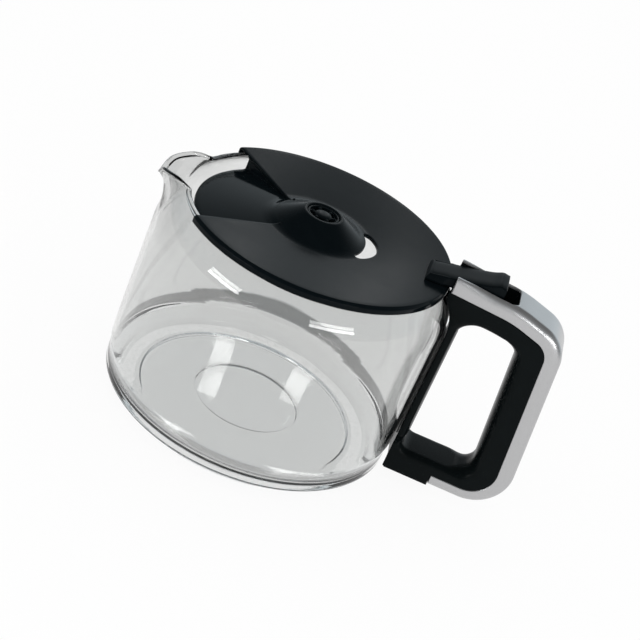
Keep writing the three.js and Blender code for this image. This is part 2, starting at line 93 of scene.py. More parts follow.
class JugSizes(bpy.types.PropertyGroup):
    """Sizes of the glass jug."""
    wall_radius: length("Wall radius", 74.97, "Outside radius of the upright glass wall")
    wall: length("Glass thickness", 2.4, "Thickness of the wall and the rim")
    wall_start: length("Wall start", 20, "Height at which the flare over the groove meets the wall")
    wall_top: length("Wall top", 84, "Height at which the shoulder begins")
    shoulder_height: length("Shoulder height", 22.8, "Rise of the shoulder above the wall")
    shoulder_sweep: angle("Shoulder sweep", 70, "Angle through which the shoulder's curve turns")
    collar_radius: length("Collar radius", 65.6, "Outside radius of the short collar at the mouth")
    rim_height: length("Rim height", 108.6, "Height of the rim away from the spout")
    foot_radius: length("Foot radius", 74.2, "Radius of the foot ring")
    foot_height: length("Foot height", 8.4, "Height of the foot ring's widest line")
    groove_depth: length("Groove depth", 0.7, "How far the groove above the foot sinks in")
    groove_height: length("Groove height", 12.5, "Height of the groove")
    rest_radius: length("Rest radius", 65.6, "Outside radius of the flat ring the jug stands on")
    rest_width: length("Rest width", 10, "Width of the flat ring the jug stands on")
    base_recess: length("Base recess", 1.2, "How far the base is raised inside the rest ring")
    disc_radius: length("Base disc radius", 26.7, "Radius of the shallow disc in the middle of the base")
    disc_recess: length("Base disc recess", 0.25, "How much further the middle disc is raised")
    ring_half_width: length("Base ring half width", 0.9, "Half the width of the ring groove round the disc")
    ring_depth: length("Base ring depth", 0.2, "Depth of the ring groove round the disc")
    floor_height: length("Floor height", 6, "Height of the inside floor")
    heel_hollow: length("Heel hollow", 10, "Radius of the inside curve from wall to floor")
    spout_reach: length("Spout reach", 14.85, "How far the spout's tip is pulled out")
    spout_depth: length("Spout depth", 17, "How far down from the rim the spout is drawn")
    spout_half_angle: angle("Spout half angle", 18, "Half the angle that the spout takes up on the rim")
    spout_droop: length("Spout droop", 6.4, "How far the pouring lip drops at the tip")
    spout_droop_angle: angle("Spout droop angle", 4, "Angle over which the pouring lip drops")
    spout_side_rise: length("Spout side rise", 2, "How far the lip rises on both sides of the tip")
    spout_side_angle: angle("Spout side angle", 14, "Angle at which the lip rises most")
    spout_side_width: angle("Spout side width", 5, "Angle over which the lip rises")


class LidSizes(bpy.types.PropertyGroup):
    """Sizes of the lid cover, its tray and the drip inlet."""
    radius: length("Lid radius", 68.3, "Outside radius of the lid's skirt")
    edge_height: length("Edge height", 110.1, "Height of the lid's top edge")
    edge_round: length("Edge round", 2.2, "Rounding between the top face and the skirt")
    skirt_bottom: length("Skirt bottom", 106.2, "Height of the skirt's lower edge")
    skirt_wall: length("Skirt wall", 1.5, "Thickness of the skirt")
    plate: length("Plate", 1.8, "Thickness of the top face")
    rim_plate: length("Rim plate", 1.2, "Thickness of the top face outside the plug ring")
    dish_bottom: length("Dish bottom", 107.7, "Height of the top face at the foot of the cone")
    cone_base: length("Cone base radius", 23.6, "Radius of the cone at its foot")
    cone_top_radius: length("Cone top radius", 10, "Radius of the cone at its top")
    cone_top: length("Cone top", 115.7, "Height of the cone's top")
    cone_fillet: length("Cone fillet", 3.4, "Rounding at the foot of the cone")
    bore: length("Inlet bore", 8.3, "Radius of the hole that takes the drip inlet")
    tube_bottom: length("Tube bottom", 103.9, "Height of the lower end of the inlet tube")
    pour_half_angle: angle("Pour half angle", 40.2, "Half the angle of the pouring sector")
    vent_centre: length("Vent centre", 13.5, "Where the vent's outer arc has its centre, from the axis")
    vent_radius: length("Vent radius", 17.1, "Radius of the vent's outer arc")
    vent_half_angle: angle("Vent half angle", 32, "Half the angle that the vent takes up round the cone")
    plug_radius: length("Plug radius", 59.6, "Outside radius of the plug ring in the neck")
    plug_wall: length("Plug wall", 1.6, "Thickness of the plug ring")
    plug_bottom: length("Plug bottom", 100.6, "Height of the plug ring's lower edge")
    pour_start: length("Pour start", 106.9, "Height of the pour floor at the foot of the cone")
    pour_end: length("Pour end", 102.5, "Height of the pour floor at its front edge")
    inlet_ring: length("Inlet ring radius", 8, "Outside radius of the drip inlet")
    inlet_wall: length("Inlet ring wall", 1.1, "Thickness of the drip inlet's ring")
    inlet_top: length("Inlet top", 115.1, "Height of the drip inlet's ring and spokes")
    inlet_depth: length("Inlet depth", 3.4, "Height of the drip inlet's ring")
    hub_radius: length("Hub radius", 4.3, "Radius of the disc in the middle of the drip inlet")
    spoke_width: length("Spoke width", 1.4, "Width of a spoke of the drip inlet")


class LeverSizes(bpy.types.PropertyGroup):
    """Sizes of the thumb lever."""
    foot_front: length("Foot front", 55, "Where the lever's foot begins on the lid")
    foot_rear: length("Foot rear", 64, "Where the lever's foot ends")
    foot_top: length("Foot top", 113.4, "Height of the top face at the foot's front")
    foot_bevel: length("Foot bevel", 1.7, "Slope of the foot's front")
    foot_half_width: length("Foot half width", 9.8, "Half the width of the foot on the lid")
    neck_half_width: length("Neck half width", 7.8, "Half the width of the top face over the foot")
    half_width: length("Half width", 8.4, "Half the width of the blade")
    seat_gap: length("Seat gap", 0.3, "Clearance between the foot and the lid")
    boss_radius: length("Boss radius", 3.8, "Radius of the boss round the hinge pin")
    tip_x: length("Tip", 92.9, "Where the thumb end is")
    tip_top: length("Tip top", 121.85, "Height of the thumb end's top")
    tip_flat: length("Tip flat", 3.6, "Length of the level part of the thumb end")
    tip_depth: length("Tip depth", 6.2, "Height of the thumb end's rear face")
    hollow_x: length("Hollow", 84.8, "Where the top face turns up to the thumb end")
    hollow_top: length("Hollow top", 119.2, "Height of the top face there")


class HandleSizes(bpy.types.PropertyGroup):
    """Sizes of the handle body and its trim."""
    half_width: length("Half width", 11.75, "Half the width of the handle")
    front_x: length("Front", 69.4, "Where the handle's upper arm begins")
    front_top: length("Front top", 118, "Height of the trim at the front")
    bend_x: length("Bend", 103, "Where the top bends down")
    bend_top: length("Bend top", 116.1, "Height of the top's bend")
    rear_top_x: length("Rear top", 129.7, "Where the top meets the back")
    rear_top_z: length("Rear top height", 108.2, "Height at which the top meets the back")
    rear_bottom_x: length("Rear bottom", 138.85, "Where the back meets the lower arm")
    bottom: length("Bottom", 6.8, "Height of the handle's lower face")
    trim_end: length("Trim end", 99.7, "Where the trim ends under the lower arm")
    bend_round: length("Bend round", 60, "Outside radius of the top's bend")
    rear_top_round: length("Rear top round", 18, "Outside radius of the rear top corner")
    rear_bottom_round: length("Rear bottom round", 21, "Outside radius of the rear bottom corner")
    trim_wall: length("Trim wall", 1.4, "Thickness of the silver trim")
    trim_top_depth: length("Trim top depth", 8.4, "How far the trim comes down over the upper arm")
    trim_back_depth: length("Trim back depth", 8, "How far the trim wraps round the grip")
    trim_bottom_depth: length("Trim bottom depth", 6.3, "How far the trim comes up over the lower arm")
    trim_edge: length("Trim edge", 5.2, "Rounding along the trim's outer edges")
    trim_edge_front: length("Trim edge front", 1.2, "Width of that rounding at the front of the upper arm")
    arm_depth: length("Arm depth", 10, "Height of the black part of the upper arm")
    grip_depth: length("Grip depth", 13.3, "Depth of the black part of the grip")
    lower_depth: length("Lower arm depth", 6.5, "Height of the black part of the lower arm")
    strap_x: length("Strap face", 79, "Where the edges of the strap's crowned face are")
    strap_gap: length("Strap gap", 1.4, "Room for the bond between strap and glass")
    strap_half_width: length("Strap half width", 9, "Half the width of the strap")
    strap_low: length("Strap low", 25, "Height at which the lower block narrows to the strap")
    strap_high: length("Strap high", 96.6, "Height at which the strap widens to the upper arm")
    loop_front_top: length("Loop front top", 11, "Rounding of the finger loop at the strap's top")
    loop_rear_top: length("Loop rear top", 11, "Rounding of the finger loop under the lever")
    loop_rear_bottom: length("Loop rear bottom", 9, "Rounding of the finger loop at the lower grip")
    loop_front_bottom: length("Loop front bottom", 6, "Rounding of the finger loop at the strap's foot")
    loop_edge: length("Loop edge", 3.6, "Rounding of the loop's edges along both arms")
    grip_edge: length("Grip edge", 6, "Rounding of the loop's edges along the grip")
    grip_start: length("Grip start", 102, "Where the rounding of the loop's edges begins to grow")
    grip_full: length("Grip full", 112, "Where the rounding of the loop's edges is fully grown")
    slot_half_width: length("Slot half width", 8.8, "Half the width of the lever's slot in the handle body")
    slot_lip: length("Slot lip", 0.8, "How much wider the trim's slot is on each side")
    slot_rear: length("Slot rear", 101.5, "Where the lever's slot ends")
    slot_round: length("Slot round", 4.2, "Rounding of the slot's rear corners")
    pocket_floor: length("Pocket floor", 101.4, "Height of the floor under the lever")


class Finishes(bpy.types.PropertyGroup):
    """Colours and gloss of the carafe's materials, with the shade painted into the glass's tint."""
    glass_tint: colour("Glass tint", (0.765, 0.77, 0.765), "Share of light that one glass wall lets through")
    # Flare shade, flare inside and spout shade are painted shade: they darken the glass tint on the flare
    # over the foot and in the spout
    flare_painted_shade: share("Flare shade", 0.5, "Share of light that enters through the flare over the foot")
    flare_inside_painted_shade: share("Flare inside", 0.13, "Share of light that leaves through the flare over the foot")
    spout_painted_shade: share("Spout shade", 0.84, "Share of light that passes the drawn spout")
    lid_colour: colour("Lid plastic", (0.0025, 0.0042, 0.0052), "Charcoal black of the lid and the lever")
    lid_roughness: share("Lid roughness", 0.2, "Roughness of the lid's satin top")
    lever_roughness: share("Lever roughness", 0.36, "Roughness of the lever")
    handle_colour: colour("Handle plastic", (0.003, 0.0045, 0.0048), "Black of the handle")
    handle_roughness: share("Handle roughness", 0.42, "Roughness of the handle's sides")
    plastic_specular: share("Plastic specular", 0.05, "Strength of the reflections on the black plastics")
    gloss_roughness: share("Gloss roughness", 0.07, "Roughness of the polished plastic faces")
    silver_colour: colour("Silver", (0.46, 0.46, 0.465), "Silver paint of the trim")
    silver_roughness: share("Silver roughness", 0.29, "Roughness of the silver paint")
    steel_colour: colour("Steel", (0.56, 0.56, 0.57), "Steel of the pin and the screw")
    silicone_colour: colour("Silicone", (0.012, 0.012, 0.012), "Adhesive between handle and glass")


class StageSettings(bpy.types.PropertyGroup):
    """Camera, floor and light."""
    camera_x: length("Camera X", 18.06, "Camera's place along X, from the jug's axis")
    camera_y: length("Camera Y", -706.98, "Camera's place along Y")
    camera_z: length("Camera Z", 451.71, "Camera's height")
    camera_tilt: angle("Camera tilt", 28.86, "How far the camera looks down")
    camera_turn: angle("Camera turn", -0.03, "How far the camera turns to the left")
    camera_roll: angle("Camera roll", 23.71, "How far the camera is rolled")
    camera_lens: FloatProperty(
        name="Lens", description="Focal length on a 36 mm sensor", default=93.32, unit="CAMERA")
    floor_size: length("Floor size", 8000, "Side of the square floor")


# Surfaces from grids of points

WELD_DIGITS = 7
# The largest rounding of a rim, as a share of the thickness
RIM_MOST = 0.49
# How far the mean in soft_path reaches, in radii of the rounding, and the places and weights it takes
SPREAD = 1.56
NEARBY = np.linspace(-1, 1, 41)
NEARBY_WEIGHT = (1 - NEARBY ** 2) / (1 - NEARBY ** 2).sum()


def unit(vectors):
    """Vectors scaled to length one; those of no length stay zero."""
    size = np.linalg.norm(vectors, axis=-1, keepdims=True)
    return vectors / np.where(size > 1e-12, size, 1)


def blend(low, high, values):
    """A smooth step: 0 below low, 1 above high, and 3t^2 - 2t^3 between."""
    share_done = np.clip((values - low) / (high - low), 0, 1)
    return share_done ** 2 * (3 - 2 * share_done)


def grid_cells(rows, cols):
    """Corner numbers of the cells of a grid of points, four to a cell."""
    number = np.arange(rows * cols).reshape(rows, cols)
    around = [number[:-1, :-1], number[:-1, 1:], number[1:, 1:], number[1:, :-1]]
    return np.stack(around, -1).reshape(-1, 4)


def weld(points, corners):
    """Points that coincide become one, and cells left with fewer than three corners go."""
    rounded = np.round(points, WELD_DIGITS) + 0.0
    _, first, same = np.unique(rounded, axis=0, return_index=True, return_inverse=True)
    corners = same.reshape(-1)[corners]
    steps = (np.diff(np.sort(corners, axis=1), axis=1) > 0).sum(axis=1)
    return points[first], corners[steps > 1]


def skin(grid):
    """A closed solid from a grid whose edges meet, with its faces turned so that its volume is positive."""
    points, corners = weld(grid.reshape(-1, 3), grid_cells(*grid.shape[:2]))
    a, b, c, d = (points[corners[:, k]] for k in range(4))
    volume = (np.cross(a, b) * c).sum() + (np.cross(a, c) * d).sum()
    return points, corners if volume > 0 else corners[:, ::-1]


def shell(outer, inner, keep=None, edge=0.4 * MM, steps=3):
    """A closed shell between two grids of points, with a rounded rim along every open edge.

    Points that coincide on both grids count as one, which closes seams and poles. Cells where keep is
    false are left out. The rim goes out from the outer sheet by a quarter round of radius edge, straight
    across the thickness, and back to the inner sheet by another quarter round.
    """
    pairs = np.concatenate([outer.reshape(-1, 3), inner.reshape(-1, 3)], axis=1)
    corners = grid_cells(*outer.shape[:2])
    if keep is not None:
        corners = corners[keep.ravel()]
    pairs, corners = weld(pairs, corners)
    top, under = pairs[:, :3], pairs[:, 3:]
    count = len(pairs)
    thickness = np.linalg.norm(top - under, axis=1)
    through = unit(top - under)
    a, b, c, d = (top[corners[:, k]] for k in range(4))
    if (np.cross(c - a, d - b) * through[corners[:, 0]]).sum() < 0:
        corners = corners[:, ::-1]
    start = corners.ravel()
    end = np.roll(corners, -1, axis=1).ravel()
    lone = (start != end) & ~np.isin(start * count + end, end * count + start)
    start, end = start[lone], end[lone]
    across = unit(np.cross(top[end] - top[start], through[start] + through[end]))
    outward = np.zeros_like(top)
    np.add.at(outward, start, across)
    np.add.at(outward, end, across)
    outward *= 2 / np.maximum((outward ** 2).sum(axis=1, keepdims=True), 1)
    brim = np.unique(np.concatenate([start, end]))
    place = np.zeros(count, int)
    place[brim] = np.arange(len(brim))
    bend = np.linspace(0, math.pi / 2, steps + 1)[1:, None]
    radius = np.minimum(edge, RIM_MOST * thickness[brim])[:, None, None]
    sway = outward[brim, None] * radius * np.sin(bend)
    sink = through[brim, None] * radius * (1 - np.cos(bend))
    upper = top[brim, None] + sway - sink
    lower = (under[brim, None] + sway + sink)[:, ::-1]
    middle = np.concatenate([upper, lower], axis=1)
    number = 2 * count + np.arange(middle.shape[0] * middle.shape[1]).reshape(middle.shape[:2])
    down = np.concatenate([brim[:, None], number, count + brim[:, None]], axis=1)
    first, second = down[place[start]], down[place[end]]
    rim = np.stack([second[:, :-1], first[:, :-1], first[:, 1:], second[:, 1:]], -1).reshape(-1, 4)
    points = np.concatenate([top, under, middle.reshape(-1, 3)])
    return points, np.concatenate([corners, corners[:, ::-1] + count, rim])


def lengths_along(path):
    """How far along a path each of its points is."""
    return np.r_[0, np.cumsum(np.linalg.norm(np.diff(path, axis=0), axis=1))]


def soft_path(corners, counts, rounds):
    """Points along straight runs between corners, with every corner rounded.

    A point is the mean of the path around it, weighted to the middle. The stretch that counts follows the
    rounding of the nearest corners and shrinks to nothing at both ends. counts is the points on each run.
    """
    corners = np.asarray(corners, float)
    along = lengths_along(corners)
    runs = [np.linspace(a, b, n, endpoint=False) for a, b, n in zip(along, along[1:], counts)]
    places = np.concatenate([*runs, along[-1:]])
    reach = np.interp(places, along, SPREAD * np.asarray(rounds, float))
    reach = np.minimum(reach, np.minimum(places, along[-1] - places))
    where = places[:, None] + reach[:, None] * NEARBY
    return np.stack([np.interp(where, along, column) @ NEARBY_WEIGHT for column in corners.T], -1)


def polar(radius, turns, height):
    """Points at radii from the jug's axis, at angles counted from +X, and at heights."""
    places = np.broadcast_arrays(AXIS_X + radius * np.cos(turns), radius * np.sin(turns), height)
    return np.stack(places, -1)


def revolve(path, turns):
    """A path of radii and heights carried round the jug's axis to every angle."""
    return polar(path[:, 0, None], turns, path[:, 1, None])


def full_turn(count):
    """Angles once round, with the first repeated at the end."""
    return np.linspace(-math.pi, math.pi, count + 1)


def lathe(path, count):
    """A solid of revolution from a path that is closed or runs from the axis to the axis."""
    return skin(revolve(np.asarray(path, float), full_turn(count)))


def joined(solids):
    """Several solids as one list of points and one list of faces."""
    sizes = np.cumsum([0] + [len(points) for points, _ in solids])
    points = np.concatenate([points for points, _ in solids])
    faces = np.concatenate([faces + size for (_, faces), size in zip(solids, sizes)])
    return points, faces


def polygons(faces):
    """Faces as lists of corners, where a corner that repeats the one before it is left out."""
    twin = faces == np.roll(faces, -1, axis=1)
    whole = ~twin.any(axis=1)
    first = twin[~whole].argmax(axis=1)[:, None] + 1
    triangles = np.take_along_axis(faces[~whole], (first + np.arange(3)) % 4, axis=1)
    return faces[whole].tolist() + triangles.tolist()


def add_piece(name, solids, material, body, nodes, crease=math.radians(38)):
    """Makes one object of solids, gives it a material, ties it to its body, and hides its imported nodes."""
    points, faces = joined(solids)
    used, faces = np.unique(faces, return_inverse=True)
    faces = faces.reshape(-1, 4)
    mesh = bpy.data.meshes.new(name)
    mesh.from_pydata(points[used].tolist(), [], polygons(faces))
    if mesh.validate():
        raise RuntimeError(f"{name} has faces that are not valid")
    mesh.shade_smooth()
    mesh.set_sharp_from_angle(angle=crease)
    mesh.materials.append(material)
    piece = bpy.data.objects.new(name, mesh)
    bpy.context.scene.collection.objects.link(piece)
    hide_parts(*nodes)
    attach(piece, body)
    return piece


# Glass jug

SHOULDER_POINTS = 12
# Rows and roundings, in millimetres, of the collar and shoulder, which both outlines share
NECK_ROWS = [3] * SHOULDER_POINTS
NECK_ROUNDS = [0, 1.2] + [1] * (SHOULDER_POINTS - 1)
# Height and taper of the foot ring's side
FOOT_FACE = 1.7 * MM
FOOT_TAPER = 0.2 * MM
JUG_COLUMNS = 300
# How even the columns are: 1 is even, and less crowds them at the spout
JUG_EVENNESS = 0.5


def shoulder_points(jug, wall_radius, collar_radius):
    """The shoulder's outline from collar to wall: a stretch of an ellipse that leaves the wall upright."""
    turn = np.linspace(jug.shoulder_sweep, 0, SHOULDER_POINTS)
    inward = (1 - np.cos(turn)) / (1 - math.cos(jug.shoulder_sweep))
    rise = np.sin(turn) / math.sin(jug.shoulder_sweep)
    radius = wall_radius + (collar_radius - wall_radius) * inward
    return np.stack([radius, jug.wall_top + jug.shoulder_height * rise], -1).tolist()


def draw_spout(jug, points, top):
    """Pulls the rim out into a spout.

    The pull grows with the square of the nearness to the rim. Round the rim it follows a cosine over the
    spout's angle. The lip drops at the tip and rises on both sides of it, each by a bell curve.
    """
    x, y, z = np.moveaxis(points, -1, 0)
    turn = np.arctan2(y, AXIS_X - x)
    radius = np.hypot(x - AXIS_X, y)
    draw = np.clip((z - top) / jug.spout_depth + 1, 0, 1) ** 2
    part = np.minimum(np.abs(turn) / jug.spout_half_angle, 1)
    radius = radius + jug.spout_reach * draw * np.cos(part * math.pi / 2)
    side = np.exp(-((np.abs(turn) - jug.spout_side_angle) / jug.spout_side_width) ** 2)
    droop = np.exp(-(turn / jug.spout_droop_angle) ** 2)
    lift = draw * (jug.spout_side_rise * side - jug.spout_droop * droop)
    return np.stack([AXIS_X - radius * np.cos(turn), radius * np.sin(turn), z + lift], -1)


def glass_jug_solid(jug):
    """The jug: outside and inside outlines from rim to middle, carried round the axis, and the spout."""
    edge = jug.wall / 2
    top = jug.rim_height - edge
    step = jug.base_recess
    rest_inside = jug.rest_radius - jug.rest_width
    outside = [
        (jug.collar_radius, top),
        *shoulder_points(jug, jug.wall_radius, jug.collar_radius),
        (jug.wall_radius, jug.wall_start),
        (jug.foot_radius - jug.groove_depth, jug.groove_height),
        (jug.foot_radius, jug.foot_height),
        (jug.foot_radius - FOOT_TAPER, jug.foot_height - FOOT_FACE),
        (jug.rest_radius, 0),
        (rest_inside, 0),
        (rest_inside - step, step),
        (jug.disc_radius + jug.ring_half_width, step),
        (jug.disc_radius, step + jug.disc_recess + jug.ring_depth),
        (jug.disc_radius - jug.ring_half_width, step + jug.disc_recess),
        (0, step + jug.disc_recess),
    ]
    outside_rows = NECK_ROWS + [14, 11, 7, 4, 9, 5, 4, 8, 3, 3, 6]
    outside_rounds = NECK_ROUNDS + [0.9, 2.2, 2.2, 1.4, 0.8, 0.4, 0.4, 0.3, 0.3, 0.3, 0]
    inner_wall = jug.wall_radius - jug.wall
    hollow = jug.heel_hollow
    inside = [
        (jug.collar_radius - jug.wall, top),
        *shoulder_points(jug, inner_wall, jug.collar_radius - jug.wall),
        (inner_wall, jug.floor_height + 2 * hollow),
        (inner_wall, jug.floor_height),
        (inner_wall - 2 * hollow, jug.floor_height),
        (0, jug.floor_height),
    ]
    inside_rows = NECK_ROWS + [14, 18, 18, 24]
    inside_rounds = NECK_ROUNDS + [4, hollow / MM, 4, 0]
    spread = np.linspace(-1, 1, JUG_COLUMNS + 1)
    turns = math.pi * (1 + JUG_EVENNESS * spread + (1 - JUG_EVENNESS) * spread ** 3)
    outlines = ((outside, outside_rows, outside_rounds), (inside, inside_rows, inside_rounds))
    sheets = [
        draw_spout(jug, revolve(soft_path(corners, rows, np.array(rounds) * MM), turns), top)
        for corners, rows, rounds in outlines
    ]
    return shell(*sheets, edge=edge, steps=5)


# Lid

LID_EDGE = 0.4 * MM
PLATE_MARGIN = 3.1 * MM
PLATE_DIP = 0.1 * MM
CONE_TOP_ROUND = 0.5 * MM
SKIRT_INNER_ROUND = 0.3 * MM
# How far the pour sector's cut runs into the cone
SECTOR_OVERLAP = 1.9 * MM
# The vent closes over the last of this many parts of its half angle
VENT_PARTS = 6
# Columns over the vent, along one side and over half the pour sector, and rows on cone and dish
COVER_COLUMNS = (57, 64, 22)
COVER_ROWS = (34, 40)
BAND_ROWS = [10, 10]


def lid_top(lid):
    """The lid's upper outline from the bore over the cone and the dish to just inside its edge."""
    corners = [
        (lid.bore, lid.cone_top),
        (lid.cone_top_radius, lid.cone_top),
        (lid.cone_base, lid.dish_bottom),
        (lid.radius - PLATE_MARGIN, lid.edge_height - PLATE_DIP),
    ]
    return soft_path(corners, [20, 80, 120], [0, CONE_TOP_ROUND, lid.cone_fillet, 0])


def lid_under(lid, radius):
    """Height of the cover's underside: the tube's end, then the plate, then the thinner rim plate."""
    top = lid_top(lid)
    height = np.interp(radius, *top.T) - lid.plate
    tube = blend(lid.bore + lid.plate, lid.bore + lid.plate + LID_EDGE, radius)
    height = lid.tube_bottom + (height - lid.tube_bottom) * tube
    rim = blend(lid.plug_radius, lid.plug_radius + LID_EDGE, radius)
    return height + (lid.edge_height - lid.rim_plate - height) * rim


def vent_edges(lid, turns):
    """Inner and outer radius of the vent at each angle from the handle.

    The outer edge is an arc off the axis, the inner one follows the cone, and both close on the middle
    line by an ellipse at the tips. Past the tips they run on as one line, down to the cut of the sector.
    """
    sector = math.pi - lid.pour_half_angle
    cut = lid.cone_base - SECTOR_OVERLAP
    within = np.minimum(np.abs(turns), lid.vent_half_angle)
    sine = lid.vent_centre * np.sin(within)
    arc = lid.vent_centre * np.cos(within) + np.sqrt(lid.vent_radius ** 2 - sine ** 2)
    width = arc - lid.cone_base
    tip = np.clip(within / lid.vent_half_angle * VENT_PARTS - VENT_PARTS + 1, 0, 1)
    half = width / 2 * np.sqrt(1 - tip ** 2)
    past = np.clip((np.abs(turns) - lid.vent_half_angle) / (sector - lid.vent_half_angle), 0, 1)
    middle = (lid.cone_base + width / 2) * (1 - past) + cut * past
    return middle - half, middle + half


def lid_cover_solid(lid):
    """The cover: a polar grid whose rows follow the vent's edges, cut out at the vent and the sector."""
    sector = math.pi - lid.pour_half_angle
    vent = lid.vent_half_angle
    vent_columns, side_columns, front_columns = COVER_COLUMNS
    swing = np.sin(np.linspace(-math.pi / 2, math.pi / 2, vent_columns)) * vent
    side = np.linspace(vent, sector, side_columns)
    front = np.linspace(sector, math.pi, front_columns)
    turns = np.unique(np.concatenate([-front, -side, swing, side, front]))
    inner_edge, outer_edge = vent_edges(lid, turns)
    rise, spread = (np.linspace(0, 1, count)[:, None] for count in COVER_ROWS)
    bore = lid.bore + LID_EDGE
    plate_end = lid.radius - PLATE_MARGIN
    radius = np.concatenate([
        bore + (inner_edge - bore) * rise,
        outer_edge + (plate_end - outer_edge) * spread,
    ])
    top_height = np.interp(radius, *lid_top(lid).T)
    low = lid.skirt_bottom + LID_EDGE
    over = [(plate_end, lid.edge_height - PLATE_DIP), (lid.radius, lid.edge_height), (lid.radius, low)]
    ceiling = lid.edge_height - lid.rim_plate
    inside = lid.radius - lid.skirt_wall
    below = [(plate_end, ceiling), (inside, ceiling), (inside, low)]
    band = soft_path(over, BAND_ROWS, [0, lid.edge_round, 0])[1:]
    band_under = soft_path(below, BAND_ROWS, [0, SKIRT_INNER_ROUND, 0])[1:]
    sheets = [
        np.concatenate([polar(radius, turns, height), revolve(edge_band, turns)])
        for height, edge_band in ((top_height, band), (lid_under(lid, radius), band_under))
    ]
    middle = (turns[1:] + turns[:-1]) / 2
    row = np.arange(sheets[0].shape[0] - 1)[:, None]
    keep = (row < len(rise) - 1) | ((row > len(rise) - 1) & (np.abs(middle) < sector))
    return shell(*sheets, keep=keep, edge=LID_EDGE)


PLUG_EDGE = 0.5 * MM
PLUG_LIP = 1.2 * MM
# The ring's top drops over this angle before the pour sector's edge, and a column stands past the edge
NOTCH_SLOPE = 0.012
NOTCH_LEAD = 0.002
SCOOP_EDGE = 0.3 * MM
SCOOP_ROUND = 0.9 * MM
# The pour floor begins inside the cone's foot, this far below its face, and turns level outside it
SCOOP_START = 1.6 * MM
SCOOP_GAP = 0.05 * MM
SCOOP_TURN = 1.8 * MM
# The side walls stand in the last of this many parts of the sector's half angle
SCOOP_PARTS = 8
FLOOR_ROUNDS = [0, 2.4 * MM, 1.6 * MM, 0]
# The scoop's section is drawn at this radius with walls of this height, then fitted to each radius
SECTION_RADIUS = 40 * MM
SECTION_HEIGHT = 5 * MM
# Share of the plug's radius beyond which the floor's thickness is measured inwards as well
FRONT_SHARE = 0.9


def lid_tray_solids(lid):
    """The tray: a plug ring whose top drops in the sector, and a scoop of floor and side walls."""
    sector = math.pi - lid.pour_half_angle
    notch = np.array([sector - NOTCH_SLOPE, sector + NOTCH_LEAD])
    turns = np.unique(np.concatenate([full_turn(180), -notch, notch]))
    within = blend(sector - NOTCH_SLOPE, sector, np.abs(turns))
    tall = lid_under(lid, lid.plug_radius - LID_EDGE) - PLUG_EDGE
    short = lid.plug_bottom + PLUG_LIP
    crest = tall + (short - tall) * within
    fall = np.linspace(0, 1, 9)[:, None]
    height = crest + (lid.plug_bottom + PLUG_EDGE - crest) * fall
    ring = [polar(lid.plug_radius - inset, turns, height) for inset in (0, lid.plug_wall)]
    begin = lid.cone_base - SCOOP_START
    begin_height = np.interp(begin, *lid_top(lid).T) - SCOOP_GAP
    floor = soft_path(
        [
            (begin, begin_height),
            (lid.cone_base + SCOOP_TURN, lid.pour_start),
            (lid.plug_radius, lid.pour_end),
            (lid.plug_radius, lid.plug_bottom + LID_EDGE),
        ],
        [14, 40, 10],
        FLOOR_ROUNDS,
    )
    half_arc = lid.pour_half_angle * SECTION_RADIUS
    section = soft_path(
        [(-half_arc, SECTION_HEIGHT), (-half_arc, 0), (half_arc, 0), (half_arc, SECTION_HEIGHT)],
        [8, 48, 8],
        [0, SCOOP_ROUND, SCOOP_ROUND, 0],
    )
    radius, depth = floor[:, 0, None], floor[:, 1, None]
    ceiling = lid_under(lid, np.minimum(radius, lid.plug_radius - LID_EDGE)) - SCOOP_EDGE
    ceiling = np.maximum(ceiling, depth)
    lift = section[:, 1] / SECTION_HEIGHT
    turn = section[:, 0] / SECTION_RADIUS
    upright = np.clip(np.abs(turn) / lid.pour_half_angle * SCOOP_PARTS - SCOOP_PARTS + 1, 0, 1)
    sheets = []
    for offset in (0, lid.plug_wall):
        swing = turn + np.sign(turn) * upright * offset / radius
        reach = radius - offset * blend(FRONT_SHARE * lid.plug_radius, lid.plug_radius, radius)
        height = depth - offset * (1 - lift) + lift * (ceiling - depth)
        sheets.append(np.stack([AXIS_X - reach * np.cos(swing), reach * np.sin(swing), height], -1))
    return [shell(*ring, edge=PLUG_EDGE), shell(*sheets, edge=SCOOP_EDGE)]


SPOKES = 6
# Rounding of the ring's edges, and the depth at which its outline begins and ends
INLET_ROUND = 0.35 * MM
SEAM_DROP = 1 * MM
# The hub's dome: shares of its radius, and heights over the inlet's top
HUB_DOME = [(0, 0.35 * MM), (0.7, 0.25 * MM), (1, -0.2 * MM)]
HUB_ROUNDS = [0, 1 * MM, 0.6 * MM, 0.4 * MM, 0]
# A spoke's half height, the depth of its middle, and how far it runs into hub and ring
SPOKE_HALF_HEIGHT = 1.1 * MM
SPOKE_DROP = 1.5 * MM
SPOKE_INTO_HUB = 0.4 * MM
SPOKE_INTO_RING = 0.3 * MM
# Power that squares a spoke's section: 1 leaves it an ellipse
SPOKE_SQUARENESS = 0.4
# A bump's outline, its distance from the hub and its depth below the inlet's top
BUMP_OUTLINE = np.array([(0, 0.7), (0.75, 0.5), (0.8, -1), (0, -1)]) * MM
BUMP_ROUNDS = [0, 0.5 * MM, 0, 0]
BUMP_AWAY = 1.1 * MM
BUMP_DROP = 0.5 * MM


def squared(values):
    """Sines or cosines pushed outwards, which turns an ellipse into a rounded rectangle."""
    return np.sign(values) * np.abs(values) ** SPOKE_SQUARENESS


